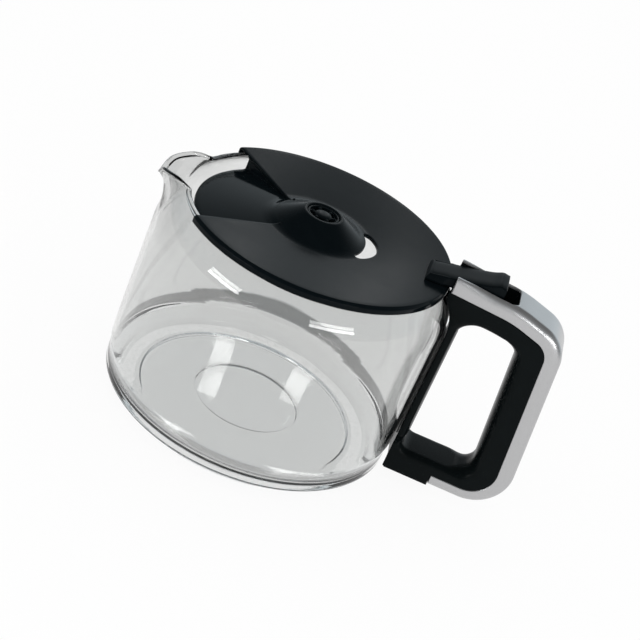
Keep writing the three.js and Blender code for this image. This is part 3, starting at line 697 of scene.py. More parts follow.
def drip_inlet_solids(lid):
    """The drip inlet: a ring, a domed hub and the spokes between them, each with a small bump on it."""
    top = lid.inlet_top
    low = top - lid.inlet_depth
    outer, inner, hub = lid.inlet_ring, lid.inlet_ring - lid.inlet_wall, lid.hub_radius
    seam = (outer, top - SEAM_DROP)
    ring_path = soft_path(
        [seam, (outer, top), (inner, top), (inner, low), (outer, low), seam],
        [4, 8, 6, 8, 6],
        [0, *[INLET_ROUND] * 4, 0],
    )
    dome = [(hub * part, top + rise) for part, rise in HUB_DOME]
    hub_path = soft_path([*dome, (hub, low), (0, low)], [8, 8, 6, 8], HUB_ROUNDS)
    around = np.linspace(-math.pi, math.pi, 25)
    swell = np.array([0, 1, 1, 0])[:, None]
    near, far = hub - SPOKE_INTO_HUB, inner + SPOKE_INTO_RING
    x = np.array([near, near, far, far])[:, None] + 0 * around
    y = lid.spoke_width / 2 * squared(np.cos(around)) * swell
    z = top - SPOKE_DROP + SPOKE_HALF_HEIGHT * squared(np.sin(around)) * swell
    bump = revolve(soft_path(BUMP_OUTLINE, [5, 5, 3], BUMP_ROUNDS), full_turn(14))
    away = hub + BUMP_AWAY
    solids = [lathe(ring_path, 64), lathe(hub_path, 48)]
    for turn in np.linspace(0, 2 * math.pi, SPOKES, endpoint=False):
        cosine, sine = math.cos(turn), math.sin(turn)
        solids.append(skin(np.stack([AXIS_X + x * cosine - y * sine, x * sine + y * cosine, z], -1)))
        solids.append(skin(bump + np.array([away * cosine, away * sine, top - BUMP_DROP])))
    return solids


# Thumb lever

LEVER_EDGE = 0.9 * MM
# How far the top falls to its sides, how far its end falls, and the length of the thumb end's underside
LEVER_CROWN = 0.35 * MM
TIP_FALL = 0.5 * MM
TIP_UNDER = 5.6 * MM
# How far the foot's front sinks below its seat, how far before the boss the seat ends, and the length over
# which the foot's width becomes the blade's
FOOT_SAG = 0.6 * MM
FOOT_END = 3.3 * MM
FOOT_FADE = 2 * MM
# Where the blade's underside leaves the boss: behind it, and over the pin's middle
BLADE_START = 0.6 * MM
BLADE_RISE = 0.8 * MM


def thumb_lever_solid(lever, lid):
    """The lever: a shell between its top and its underside, which is widest at the foot on the lid."""
    front = lever.foot_front + LEVER_EDGE
    tip = lever.tip_x - LEVER_EDGE
    tip_under = lever.tip_top - lever.tip_depth
    boss = lever.boss_radius
    boss_front, boss_rear = HINGE.x - AXIS_X - boss, HINGE.x - AXIS_X + boss
    seat = lid.edge_height + lever.seat_gap
    upper = soft_path(
        [
            (front + lever.foot_bevel, lever.foot_top),
            (lever.hollow_x, lever.hollow_top),
            (tip - lever.tip_flat, lever.tip_top),
            (tip, lever.tip_top - TIP_FALL),
        ],
        [30, 12, 10],
        [0, 9 * MM, 2.4 * MM, 0],
    )
    lower = soft_path(
        [
            (front, seat - FOOT_SAG),
            (boss_front - FOOT_END, seat),
            (boss_front, HINGE.z - boss),
            (boss_rear, HINGE.z - boss),
            (boss_rear + BLADE_START, HINGE.z + BLADE_RISE),
            (lever.tip_x - TIP_UNDER, tip_under),
            (tip, tip_under),
        ],
        [14, 8, 8, 6, 10, 6],
        [0, 1 * MM, 3 * MM, 3 * MM, 2 * MM, 1 * MM, 0],
    )
    across = np.sin(np.linspace(-math.pi / 2, math.pi / 2, 41))
    layers = ((upper, lever.neck_half_width, LEVER_CROWN), (lower, lever.foot_half_width, 0))
    sheets = []
    for path, foot_half, crown in layers:
        x, z = path[:, 0, None], path[:, 1, None]
        on_blade = blend(lever.foot_rear, lever.foot_rear + FOOT_FADE, x)
        half = foot_half + (lever.half_width - foot_half) * on_blade - LEVER_EDGE
        sheets.append(np.stack([AXIS_X + x + 0 * across, half * across, z - crown * across ** 4], -1))
    return shell(*sheets, edge=LEVER_EDGE, steps=4)


# Handle

TRIM_EDGE = 0.5 * MM
FIT_GAP = 0.3 * MM
# The rounding of the trim's edges: side left flat, most and least width, and distance from the slot's
# rear at which it is widest
TRIM_FLAT = 1.8 * MM
TRIM_BROADEST = 3.4 * MM
TRIM_NARROWEST = 0.2 * MM
TRIM_BROAD_END = 10 * MM
# Stations along the slot's straight edge, round its rear corner and over the rest of the trim
TRIM_STATIONS = (36, 10, 260)
# How far beside a corner its two stations lie, in shares of a stretch
STEP_ASIDE = 0.0002
# Where the stretches of the upper and of the lower arm begin, behind the strap's face
UPPER_SPLIT = 7 * MM
LOWER_SPLIT = 8 * MM
# How far the lower block's front corner lies behind the glass side, and below its start
BLOCK_BEHIND = 0.2 * MM
BLOCK_BELOW = 1 * MM
# How much further the grip's rounding goes over the loop's face than up the side, and how much of the
# depth roundings may take up
LOOP_SPREAD = 1.5
LOOP_MOST = 0.55
SIDE_ROUND = 0.5 * MM
SIDE_MOST = 0.2
# Lengths over which the strap's width changes, and crowns of the loop's face and of the strap
STRAP_STEP = 1 * MM
STRAP_FADE = 9 * MM
FACE_CROWN = 0.25 * MM
STRAP_CROWN = 1.85 * MM
# The pocket ends this far before the slot's rear, and is measured along sections steeper than this
POCKET_END = 1.5 * MM
POCKET_STEEP = 0.05
# Faces this close to the glass side and this far above the bottom are hollowed round the jug, with at
# least this radius
HOLLOW_NEAR = 0.1 * MM
HOLLOW_ABOVE = 0.5 * MM
HOLLOW_LEAST = 30 * MM


def handle_outline(handle):
    """Corners of the handle's outer outline, from the top's front round the back to the trim's lower end."""
    return np.array([
        (handle.front_x, handle.front_top),
        (handle.bend_x, handle.bend_top),
        (handle.rear_top_x, handle.rear_top_z),
        (handle.rear_bottom_x, handle.bottom),
        (handle.trim_end, handle.bottom),
    ])


def moved_lines(handle, depths):
    """The outline's straight lines moved inwards: one point on each, and its direction."""
    outline = handle_outline(handle)
    along = unit(np.diff(outline, axis=0))
    inward = np.stack([along[:, 1], -along[:, 0]], -1)
    return outline[:-1] + inward * np.asarray(depths)[:, None], along


def crossing(point, way, other, other_way):
    """Where two lines in a plane meet."""
    gap = other - point
    turn = way[0] * other_way[1] - way[1] * other_way[0]
    return point + way * (gap[0] * other_way[1] - gap[1] * other_way[0]) / turn


def moved_outline(handle, depths, front_x, end_x):
    """Corners of the outline moved inwards, cut at the front and at the lower end by upright lines."""
    points, along = moved_lines(handle, depths)
    upright = np.array([0.0, 1.0])
    inner = [crossing(points[k], along[k], points[k + 1], along[k + 1]) for k in range(len(points) - 1)]
    front = crossing(points[0], along[0], np.array([front_x, 0]), upright)
    end = crossing(points[-1], along[-1], np.array([end_x, 0]), upright)
    return np.array([front, *inner, end])


def rounded_chain(corners, rounds, count=60):
    """A chain of straight lines with an arc at each inner corner, as a list of lines and arcs in turn.

    An arc goes on along the line by r sin t and to its side by r (1 - cos t), up to the angle of the turn.
    """
    legs = unit(np.diff(corners, axis=0))
    side = np.stack([-legs[:, 1], legs[:, 0]], -1)
    turns = np.arctan2((side[:-1] * legs[1:]).sum(1), (legs[:-1] * legs[1:]).sum(1))
    cut = np.asarray(rounds) * np.tan(np.abs(turns) / 2)
    begin = np.vstack([corners[:1], corners[1:-1] + legs[1:] * cut[:, None]])
    finish = np.vstack([corners[1:-1] - legs[:-1] * cut[:, None], corners[-1:]])
    pieces = []
    for k, leg in enumerate(legs):
        pieces.append(np.linspace(begin[k], finish[k], count))
        if k < len(turns):
            sweep = np.linspace(0, abs(turns[k]), count)[:, None]
            aside = side[k] * np.sign(turns[k])
            pieces.append(finish[k] + rounds[k] * (leg * np.sin(sweep) + aside * (1 - np.cos(sweep))))
    return pieces


def inset_chain(handle, depths, ends):
    """The outline moved inwards and cut at both ends, as a list of lines and arcs in turn.

    The radius of an arc shrinks by the mean depth of the two lines beside it.
    """
    rounds = np.array([handle.bend_round, handle.rear_top_round, handle.rear_bottom_round])
    return rounded_chain(moved_outline(handle, depths, *ends), rounds - (depths[:-1] + depths[1:]) / 2)


def trim_depths(handle):
    """How deep the trim is along the four lines of the outline."""
    top = handle.trim_top_depth
    return np.array([top, top, handle.trim_back_depth, handle.trim_bottom_depth])


def slot_half(handle, x, width):
    """Half the width of a slot for the lever at a place along the handle, with its rear corners rounded."""
    past = np.clip((x - handle.slot_rear) / handle.slot_round + 1, 0, 1)
    return width - handle.slot_round * (1 - np.sqrt(1 - past ** 2))


def at_shares(path, shares):
    """Points of a path at shares of its length."""
    along = lengths_along(path)
    return np.stack([np.interp(shares * along[-1], along, column) for column in path.T], -1)


def mirrored(half, flip=(1, -1, 1)):
    """Columns for one side of the handle followed by their mirror image, back to the first."""
    return np.concatenate([half, half[:, -2::-1] * flip], axis=1)


def handle_trim_solid(handle):
    """The trim: a channel section carried along the outline, slotted for the lever.

    A station's section runs up one side, over a quarter of an ellipse to the top, on to the slot's edge and
    to the middle of the web. The ellipse is narrow at the front and becomes nearly round behind the slot,
    and beside the slot the slot's edge cuts it short.
    """
    depths = trim_depths(handle)
    ends = (handle.front_x + TRIM_EDGE, handle.trim_end + TRIM_EDGE)
    outer_line = np.concatenate(inset_chain(handle, 0 * depths, ends))
    inner_line = np.concatenate(inset_chain(handle, depths, ends))
    number = np.arange(len(outer_line))
    straight, corner, rest = TRIM_STATIONS
    bend = handle.slot_rear - handle.slot_round
    slot_x = np.concatenate([
        np.linspace(ends[0], bend, straight, endpoint=False),
        bend + handle.slot_round * np.sin(np.linspace(0, math.pi / 2, corner)),
    ])
    top_end = outer_line[:, 0].argmax()
    slot_rows = np.interp(slot_x, outer_line[:top_end, 0], number[:top_end])
    along = lengths_along(outer_line + inner_line)
    rest_along = np.linspace(np.interp(slot_rows[-1], number, along), along[-1], rest)[1:]
    rows = np.concatenate([slot_rows, np.interp(rest_along, along, number)])
    outside, inside = (
        np.stack([np.interp(rows, number, column) for column in line.T], -1)
        for line in (outer_line, inner_line))
    depth = np.linalg.norm(inside - outside, axis=1)[:, None]
    inward = (inside - outside) / depth
    x = outside[:, :1]
    slot = handle.slot_half_width + handle.slot_lip
    half = slot_half(handle, np.minimum(x, handle.slot_rear), slot)
    half[len(slot_rows):] = slot - handle.slot_round
    wide, wall = handle.half_width, handle.trim_wall
    rise = np.minimum(handle.trim_edge, depth - TRIM_FLAT)
    broad = blend(handle.front_x, handle.slot_rear - TRIM_BROAD_END, x)
    narrow = handle.trim_edge_front
    reach = narrow + (np.minimum(rise, TRIM_BROADEST) - narrow) * broad
    counts = [6, 18, 4, 6]
    side, turn, ledge, web = (np.linspace(0, 1, count, endpoint=False) for count in counts)
    sheets = []
    for inner in (0, wall):
        face = wide - inner
        up, across = rise - inner, np.maximum(reach - inner, TRIM_NARROWEST)
        finish = np.arccos(np.clip(1 - (face - half) / across, 0, 1))
        top = rise - up * np.sin(finish)
        crest = face - across * (1 - np.cos(finish))
        sink = np.concatenate([
            depth - TRIM_EDGE + (rise - depth + TRIM_EDGE) * side,
            rise - up * np.sin(finish * turn),
            top + 0 * ledge,
            top + 0 * web,
            top,
        ], axis=1)
        y = np.concatenate([
            face + 0 * side + 0 * depth,
            face - across * (1 - np.cos(finish * turn)),
            crest + (half - crest) * ledge,
            half * (1 - web),
            0 * half,
        ], axis=1)
        plane = outside[:, None] + inward[:, None] * sink[..., None]
        sheets.append(mirrored(np.stack([AXIS_X + plane[..., 0], y, plane[..., 1]], -1)))
    row = np.arange(len(rows) - 1)[:, None]
    column = np.arange(sheets[0].shape[1] - 1)
    knot = sum(counts[:3])
    in_slot = (row < len(slot_rows) - 1) & (column >= knot) & (column < sheets[0].shape[1] - 1 - knot)
    return shell(*sheets, keep=~in_slot, edge=TRIM_EDGE)


def loop_corners(handle):
    """Corners of the finger loop, from the strap's top round to the strap's foot."""
    trim = trim_depths(handle)
    grip = np.array([handle.arm_depth, handle.arm_depth, handle.grip_depth, handle.lower_depth])
    points, along = moved_lines(handle, trim + grip)
    strap, upright = np.array([handle.strap_x, 0.0]), np.array([0.0, 1.0])
    return np.array([
        crossing(points[0], along[0], strap, upright),
        crossing(points[0], along[0], points[2], along[2]),
        crossing(points[2], along[2], points[3], along[3]),
        crossing(points[3], along[3], strap, upright),
    ])


def glass_side(handle, jug, low, high):
    """The handle's face to the glass between two heights: the jug's outline and the room for the bond."""
    shoulder = np.array(shoulder_points(jug, jug.wall_radius, jug.collar_radius))[::-1]
    height = np.linspace(low, high, 40)
    radius = np.interp(height, shoulder[:, 1], shoulder[:, 0]) + handle.strap_gap
    return np.stack([radius, height], -1)


def handle_stations(handle, jug):
    """Places once round the finger loop: on the loop, on the outside, and on the tongue inside the trim.

    The loop and the outside are cut into the same stretches, and stations lie at the same shares of both.
    Corners of the outside get a station on either side of them.
    """
    loop = loop_corners(handle)
    middle = (loop[0] + loop[3]) / 2
    upper_rounds = [handle.loop_front_top, handle.loop_rear_top]
    lower_rounds = [handle.loop_rear_bottom, handle.loop_front_bottom]
    inside = rounded_chain(np.array([middle, *loop, middle]), np.array(upper_rounds + lower_rounds))
    depths = trim_depths(handle)
    ends = (handle.front_x, handle.trim_end - FIT_GAP)
    edge = inset_chain(handle, depths, ends)
    crest = inset_chain(handle, 0 * depths + handle.trim_wall + FIT_GAP, ends)
    split = handle.strap_x + UPPER_SPLIT
    tops = [np.concatenate(line[:3]) for line in (edge, crest)]
    front_tops = [top[top[:, 0] < split] for top in tops]
    rear_tops = [top[top[:, 0] >= split] for top in tops]
    strap_top, strap_foot = inside[0][-1, 1], inside[8][0, 1]
    shoulder = glass_side(handle, jug, middle[1], jug.rim_height)
    front_height = np.interp(-handle.front_x, -shoulder[:, 0], shoulder[:, 1])
    wall_face = jug.wall_radius + handle.strap_gap
    lower_front = np.array([wall_face + BLOCK_BEHIND, handle.bottom])
    lower_rear = np.array([handle.strap_x + LOWER_SPLIT, handle.bottom])
    block_front = glass_side(handle, jug, handle.bottom + BLOCK_BELOW, strap_foot)
    foot = np.array([ends[1], handle.bottom])
    runs = [
        [glass_side(handle, jug, middle[1], strap_top)],
        [glass_side(handle, jug, strap_top, front_height), front_tops[0][:1], front_tops[0]],
        [rear_tops[0]],
        [edge[3]],
        [edge[4]],
        [edge[5]],
        [edge[6], np.array([foot, lower_rear])],
        [np.array([lower_rear, lower_front]), block_front],
        [glass_side(handle, jug, strap_foot, middle[1])],
    ]
    tongues = [None, front_tops[1], rear_tops[1], crest[3], crest[4], crest[5], crest[6], None, None]
    counts = [14, 44, 40, 22, 40, 26, 30, 34, 14]
    stations, outsides, crests, tongue_flags = [], [], [], []
    for k, (run, tongue, count) in enumerate(zip(runs, tongues, counts)):
        path = np.concatenate(run)
        along = lengths_along(path)
        part_starts = np.cumsum([len(part) for part in run])[:-1]
        starts, stops = along[part_starts] / along[-1], along[part_starts - 1] / along[-1]
        shares = np.linspace(0, 1, count, endpoint=False)
        corners = np.concatenate([starts, stops])
        shares = np.unique(np.concatenate([shares, corners - STEP_ASIDE, corners + STEP_ASIDE]))
        outer = at_shares(path, shares)
        top = outer.copy()
        on_tongue = np.zeros(len(shares), bool)
        if tongue is not None:
            begin = starts[-1] if k == 1 else 0
            finish = stops[0] if k == 6 else 1
            on_tongue = (shares > begin) & (shares < finish)
            part = (shares[on_tongue] - begin) / (finish - begin)
            top[on_tongue] = at_shares(tongue, part)
        stations.append(at_shares(inside[k], shares))
        outsides.append(outer)
        crests.append(top)
        tongue_flags.append(on_tongue)
    return [np.concatenate([*part, part[0][:1]]) for part in (stations, outsides, crests, tongue_flags)]


def handle_body_solid(handle, jug):
    """The handle body: a rounded section carried round the finger loop.

    A section starts in the middle of the loop's face, turns over a rounded edge to the flat side, goes up
    to the trim's edge, and steps in to the tongue that fills the trim. Under the slot it drops to the
    lever's pocket. The strap is narrower and its face is crowned.
    """
    inside, outside, crest, on_tongue = handle_stations(handle, jug)
    depth = np.linalg.norm(outside - inside, axis=1)[:, None]
    way = (outside - inside) / depth
    height = inside[:, 1:]
    strap = blend(handle.strap_low - STRAP_STEP, handle.strap_low + STRAP_STEP, height)
    strap = strap * (1 - blend(handle.strap_high - STRAP_FADE, handle.strap_high + STRAP_STEP, height))
    strap = strap * (inside[:, :1] < handle.strap_x + handle.loop_front_top)
    half = handle.half_width - (handle.half_width - handle.strap_half_width) * strap
    on_grip = blend(handle.grip_start, handle.grip_full, inside[:, :1])
    round_in = handle.loop_edge + (handle.grip_edge - handle.loop_edge) * on_grip
    round_in = np.minimum(round_in, LOOP_MOST * depth)
    reach_in = round_in * (1 + (LOOP_SPREAD - 1) * on_grip)
    round_out = np.minimum(SIDE_ROUND, SIDE_MOST * depth)
    core = np.minimum(handle.half_width - handle.trim_wall - FIT_GAP, half - round_out)
    slot_x = np.clip(outside[:, :1], 0, handle.slot_rear)
    slot = np.minimum(slot_half(handle, slot_x, handle.slot_half_width), core)
    quarter = np.linspace(0, math.pi / 2, 9)
    face = np.linspace(0, 1, 8, endpoint=False)
    flank = np.linspace(0, 1, 8)[1:-1]
    turn = np.linspace(0, math.pi / 2, 4)
    zero = 0 * half
    sink = np.concatenate([
        zero + 0 * face,
        round_in * (1 - np.cos(quarter)),
        round_in + (depth - round_out - round_in) * flank,
        depth - round_out * (1 - np.sin(turn)),
    ], axis=1)
    y = np.concatenate([
        (half - reach_in) * face,
        half - reach_in * (1 - np.sin(quarter)),
        half + 0 * flank,
        half - round_out * (1 - np.cos(turn)),
    ], axis=1)
    crown = (FACE_CROWN + STRAP_CROWN * strap) * (1 - (y / half) ** 2)
    plane = inside[:, None] + way[:, None] * (sink - crown * (1 - sink / depth))[..., None]
    climb = np.where(np.abs(way[:, 1:]) > POCKET_STEEP, way[:, 1:], 1)
    pocket = inside + way * (handle.pocket_floor - height) / climb
    over_pocket = outside[:, 1] > handle.pocket_floor
    over_pocket &= outside[:, 0] < handle.slot_rear - POCKET_END
    floor = np.where(over_pocket[:, None], pocket, crest)
    tail = np.stack([outside, crest, crest, floor, floor], axis=1)
    tail_y = np.concatenate([core, core, slot, slot, zero], axis=1)
    plane = np.concatenate([plane, tail], axis=1)
    y = np.concatenate([y, tail_y], axis=1)
    wall_face = jug.wall_radius + handle.strap_gap
    facing = outside[:, :1] < wall_face + HOLLOW_NEAR
    facing &= outside[:, 1:] > handle.bottom + HOLLOW_ABOVE
    facing &= ~on_tongue[:, None]
    radius = np.maximum(outside[:, :1], HOLLOW_LEAST)
    hollow = radius - np.sqrt(radius ** 2 - y ** 2)
    part = np.concatenate([sink / depth, np.ones_like(tail_y)], axis=1)
    x = plane[..., 0] - hollow * part * facing
    return skin(mirrored(np.stack([AXIS_X + x, y, plane[..., 1]], -1)))


# Fasteners

HEAD_THICKNESS = 0.9 * MM
HEAD_DOME = 0.45 * MM
# The shank's radius in shares of the head, and its tip's in shares of the shank
SHANK_SHARE = 0.5
SHANK_TIP = 0.2
# The cross recess: its depth, where its sides slope, and where its arms end in shares of the head
RECESS_DEPTH = 0.5 * MM
RECESS_SIDE = (0.34 * MM, 0.46 * MM)
RECESS_END = (0.55, 0.68)


def trim_screw_solid():
    """The screw under the trim: a domed head with a cross recess on a plain shank, head downwards.

    The head is a polar grid whose height sinks by the recess where a point is near either of two lines.
    """
    low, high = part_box("trim_screw")
    centre = (low + high) / 2
    head = (high.x - low.x) / 2
    back = low.z + HEAD_THICKNESS
    shank = SHANK_SHARE * head
    spread = np.linspace(0, 1, 30)[:, None]
    turns = full_turn(96)
    radius = head * spread
    near = np.minimum(np.abs(np.cos(turns)), np.abs(np.sin(turns))) * radius
    recess = RECESS_DEPTH * (1 - blend(*RECESS_SIDE, near)) * (1 - blend(*RECESS_END, spread))
    face = low.z + recess + HEAD_DOME * spread ** 4
    back_radius = np.concatenate([[head], np.full(7, shank), [SHANK_TIP * shank, 0]])[:, None]
    back_height = np.concatenate([[back], np.linspace(back, high.z - shank, 7), [high.z, high.z]])[:, None]
    radius = np.concatenate([radius, back_radius]) + 0 * turns
    height = np.concatenate([face, back_height + 0 * turns])
    return skin(np.stack([centre.x + radius * np.cos(turns), centre.y + radius * np.sin(turns), height], -1))


# Materials

NODE = "ShaderNode"
WHITE = (1, 1, 1, 1)
GRAIN_BUMP = 0.05 * MM
# The mask of painted shade on groove and flare ends this far below both the wall's start and the groove, and
# fades there
FLARE_MARGIN = 2 * MM
FLARE_FADE = 1 * MM
# How far outside the inner wall that mask begins, and over which length
FLARE_SKIN = 0.2 * MM
# The mask of painted shade on the spout begins and is full this far behind the collar's front
SPOUT_BEGIN = 14 * MM
SPOUT_FULL = 2 * MM
# How far sideways a face of the handle looks where the polish begins and is full, and how much it gets
POLISH_BEGIN, POLISH_FULL, POLISH_MOST = 0.97, 0.8, 0.5


def fill(tree, node, values):
    """Sets or links a node's inputs by name or number."""
    for key, value in values.items():
        if isinstance(value, bpy.types.NodeSocket):
            tree.links.new(value, node.inputs[key])
        else:
            node.inputs[key].default_value = value


def put(tree, kind, values=None, **settings):
    """Adds a node, applies its settings, and sets or links its inputs."""
    node = tree.nodes.new(NODE + kind)
    for key, value in settings.items():
        setattr(node, key, value)
    fill(tree, node, values or {})
    return node


def maths(tree, operation, *values, **settings):
    """The result of one operation on values or sockets."""
    return put(tree, "Math", dict(enumerate(values)), operation=operation, **settings).outputs[0]


def ramp(tree, value, start, end, low=0.0, high=1.0, **settings):
    """A value that goes from low to high while another goes from start to end, and stays there beyond."""
    limits = {"From Min": start, "From Max": end, "To Min": low, "To Max": high}
    return put(tree, "MapRange", {"Value": value, **limits}, **settings).outputs["Result"]


def varied(tree, factor, low, high):
    """A value that goes from low to high with a factor."""
    return ramp(tree, factor, 0, 1, low, high)


def mixed(tree, factor, first, second):
    """A colour between two colours."""
    return put(tree, "Mix", {"Factor": factor, 6: first, 7: second}, data_type="RGBA").outputs[2]


def tinted(tree, tint, factor, spread):
    """A colour that varies a little around a tint with a factor."""
    dark = (*(channel * (1 - spread) for channel in tint), 1)
    pale = (*(channel * (1 + spread) for channel in tint), 1)
    return mixed(tree, factor, dark, pale)


def bumped(tree, height, strength, distance):
    """A normal tipped by a height."""
    values = {"Height": height, "Strength": strength, "Distance": distance}
    return put(tree, "Bump", values).outputs["Normal"]


def shared_group(name, inputs, build):
    """A shader node group, made when it is first asked for.

    build gets the group's tree and the sockets of its inputs, and returns the values it gives out by name.
    """
    if name in bpy.data.node_groups:
        return bpy.data.node_groups[name]
    tree = bpy.data.node_groups.new(name, "ShaderNodeTree")
    for label, kind in inputs.items():
        tree.interface.new_socket(label, in_out="INPUT", socket_type=kind)
    results = build(tree, tree.nodes.new("NodeGroupInput").outputs)
    for label in results:
        tree.interface.new_socket(label, in_out="OUTPUT", socket_type="NodeSocketFloat")
    fill(tree, tree.nodes.new("NodeGroupOutput"), results)
    return tree


def grain_nodes(tree, given):
    """Noise and rounded cells added up to a height, and a soft mottling."""
    place = {"Vector": given["Vector"]}
    fine = {**place, "Scale": given["Grains per metre"]}
    noise = put(tree, "TexNoise", {**fine, "Detail": 2.0, "Roughness": 0.6})
    cells = put(tree, "TexVoronoi", fine, feature="SMOOTH_F1")
    wide = put(tree, "TexNoise", {**place, "Scale": 220.0, "Detail": 3.0})
    height = maths(tree, "ADD", noise.outputs["Fac"], cells.outputs["Distance"])
    return {"Height": height, "Mottle": wide.outputs["Fac"]}


def mark_nodes(tree, given):
    """Stretched noise, of which only the peaks show."""
    stretch = {"Scale": (1.0, 2.2, 0.8), "Rotation": (0.3, 0.5, 0.7)}
    stretched = put(tree, "Mapping", {"Vector": given["Vector"], **stretch}).outputs[0]
    smear = put(tree, "TexNoise", {"Vector": stretched, "Scale": 45.0, "Detail": 4.0, "Distortion": 0.6})
    return {"Mask": ramp(tree, smear.outputs["Fac"], 0.5, 0.75)}


def moulded_grain(tree, place, grains):
    """Height and mottling of a fine moulded texture with so many grains to the metre."""
    inputs = {"Vector": "NodeSocketVector", "Grains per metre": "NodeSocketFloat"}
    group = shared_group("Moulded Grain", inputs, grain_nodes)
    return put(tree, "Group", {"Vector": place, "Grains per metre": grains}, node_tree=group).outputs


def handling_marks(tree, place):
    """A mask of faint smears left by wiping and handling."""
    group = shared_group("Handling Marks", {"Vector": "NodeSocketVector"}, mark_nodes)
    return put(tree, "Group", {"Vector": place}, node_tree=group).outputs["Mask"]


def new_material(name):
    """A material with a Principled shader and an output, and the object coordinates to paint it by."""
    material = bpy.data.materials.new(name)
    material.use_nodes = True
    tree = material.node_tree
    tree.nodes.clear()
    surface = put(tree, "BsdfPrincipled")
    put(tree, "OutputMaterial", {"Surface": surface.outputs[0]})
    place = put(tree, "TexCoord").outputs["Object"]
    return material, tree, surface, place


def moulded_plastic(name, finish, tint, satin, polish):
    """Black moulded plastic, grained where satin and smooth where polish is 1, with faint handling marks.

    polish builds the mask of the polished faces from the tree and the object coordinates.
    """
    material, tree, surface, place = new_material(name)
    grain = moulded_grain(tree, place, 2600.0)
    mask = polish(tree, place)
    smear = maths(tree, "MULTIPLY", handling_marks(tree, place), 0.03)
    mottle = maths(tree, "MULTIPLY_ADD", grain["Mottle"], 0.03, smear)
    rough = varied(tree, mask, satin, finish.gloss_roughness)
    fill(tree, surface, {
        "Base Color": tinted(tree, tint, grain["Mottle"], 0.2),
        "Roughness": maths(tree, "ADD", rough, mottle),
        "Normal": bumped(tree, grain["Height"], varied(tree, mask, 0.05, 0.01), GRAIN_BUMP),
        "Specular IOR Level": finish.plastic_specular,
    })
    return material


def distance_from_axis(tree, place):
    """How far the object coordinates are from the jug's upright axis."""
    centred = put(tree, "Mapping", {"Vector": place, "Location": (-AXIS_X, 0, 0), "Scale": (1, 1, 0)})
    return put(tree, "VectorMath", {0: centred.outputs[0]}, operation="LENGTH").outputs["Value"]


def skirt_polish(tree, place):
    """A mask of the lid's polished skirt: all that lies further from the jug's axis than the top face."""
    lid = bpy.context.scene.carafe_lid
    away = distance_from_axis(tree, place)
    return ramp(tree, away, lid.radius - lid.edge_round, lid.radius - lid.edge_round / 2)


def loop_polish(tree, place):
    """A mask of the handle's polished faces: all that don't face straight to one side."""
    normal = put(tree, "TexCoord").outputs["Normal"]
    sideways = maths(tree, "ABSOLUTE", put(tree, "SeparateXYZ", {0: normal}).outputs["Y"])
    return ramp(tree, sideways, POLISH_BEGIN, POLISH_FULL, high=POLISH_MOST)


def slow_polish(low, high):
    """A mask for plastic whose gloss changes slowly over its faces, from low to high."""
    def mask(tree, place):
        wide = put(tree, "TexNoise", {"Vector": place, "Scale": 30.0})
        return varied(tree, wide.outputs["Fac"], low, high)
    return mask


# Polish nearly all over, and hardly any
NEARLY_ALL = slow_polish(0.9, 1.0)
HARDLY_ANY = slow_polish(0.0, 0.12)


def painted_flare_mask(tree, place):
    """A mask of painted shade on the groove over the foot and the flare above it, on the outside only."""
    jug = bpy.context.scene.carafe_jug
    height = put(tree, "SeparateXYZ", {0: place}).outputs["Z"]
    top, low = jug.wall_start - FLARE_MARGIN, jug.groove_height - FLARE_MARGIN
    inner_wall = jug.wall_radius - jug.wall
    below_top = ramp(tree, height, top, top - FLARE_FADE)
    above_low = ramp(tree, height, low - FLARE_FADE, low)
    away = distance_from_axis(tree, place)
    outside = ramp(tree, away, inner_wall + FLARE_SKIN, inner_wall + 2 * FLARE_SKIN)
    return maths(tree, "MULTIPLY", maths(tree, "MULTIPLY", below_top, above_low), outside)


def painted_spout_mask(tree, place):
    """A mask of painted shade on the spout: all that lies in front of the collar and above the shoulder's
    foot.
    """
    jug = bpy.context.scene.carafe_jug
    apart = put(tree, "SeparateXYZ", {0: place}).outputs
    collar = AXIS_X - jug.collar_radius
    front = ramp(tree, apart["X"], collar + SPOUT_BEGIN, collar + SPOUT_FULL)
    high = ramp(tree, apart["Z"], jug.wall_top, jug.rim_height - jug.spout_depth / 2)
    return maths(tree, "MULTIPLY", front, high)


def clear_glass(finish):
    """Clear glass with a faint tint and the slight waviness of a blown wall.

    Shade is painted into the tint in the drawn spout and on the flare over the foot, most of it where light
    leaves through the flare.
    """
    material, tree, surface, place = new_material("clear_glass")
    # Painted shade on the flare, darker on faces seen from inside the glass
    leaving = put(tree, "NewGeometry").outputs["Backfacing"]
    painted_flare_dimming = varied(tree, leaving, 1 - finish.flare_painted_shade, 1 - finish.flare_inside_painted_shade)
    flare = maths(tree, "SUBTRACT", 1.0, maths(tree, "MULTIPLY", painted_flare_mask(tree, place), painted_flare_dimming))
    # Painted shade in the drawn spout
    spout = varied(tree, painted_spout_mask(tree, place), 1, finish.spout_painted_shade)
    shade = maths(tree, "MULTIPLY", flare, spout)
    tint = put(tree, "VectorMath", {0: finish.glass_tint, "Scale": shade}, operation="SCALE")
    wave = put(tree, "TexNoise", {"Vector": place, "Scale": 38.0, "Detail": 1.0})
    fill(tree, surface, {
        "Base Color": tint.outputs["Vector"],
        "Normal": bumped(tree, wave.outputs["Fac"], 0.01, 1 * MM),
        "Roughness": 0.0,
        "IOR": 1.5,
        "Transmission Weight": 1.0,
    })
    return material


def satin_silver(finish):
    """Silver paint: fine bright and dark flakes in a satin metallic coat."""
    material, tree, surface, place = new_material("satin_silver")
    flakes = put(tree, "TexVoronoi", {"Vector": place, "Scale": 3800.0}).outputs["Color"]
    shade = put(tree, "SeparateXYZ", {0: flakes}).outputs["X"]
    grain = moulded_grain(tree, place, 1500.0)
    rough = finish.silver_roughness
    fill(tree, surface, {
        "Base Color": tinted(tree, finish.silver_colour, shade, 0.04),
        "Roughness": varied(tree, handling_marks(tree, place), rough, rough + 0.06),
        "Normal": bumped(tree, grain["Height"], 0.003, GRAIN_BUMP),
        "Metallic": 0.8,
    })
    return material


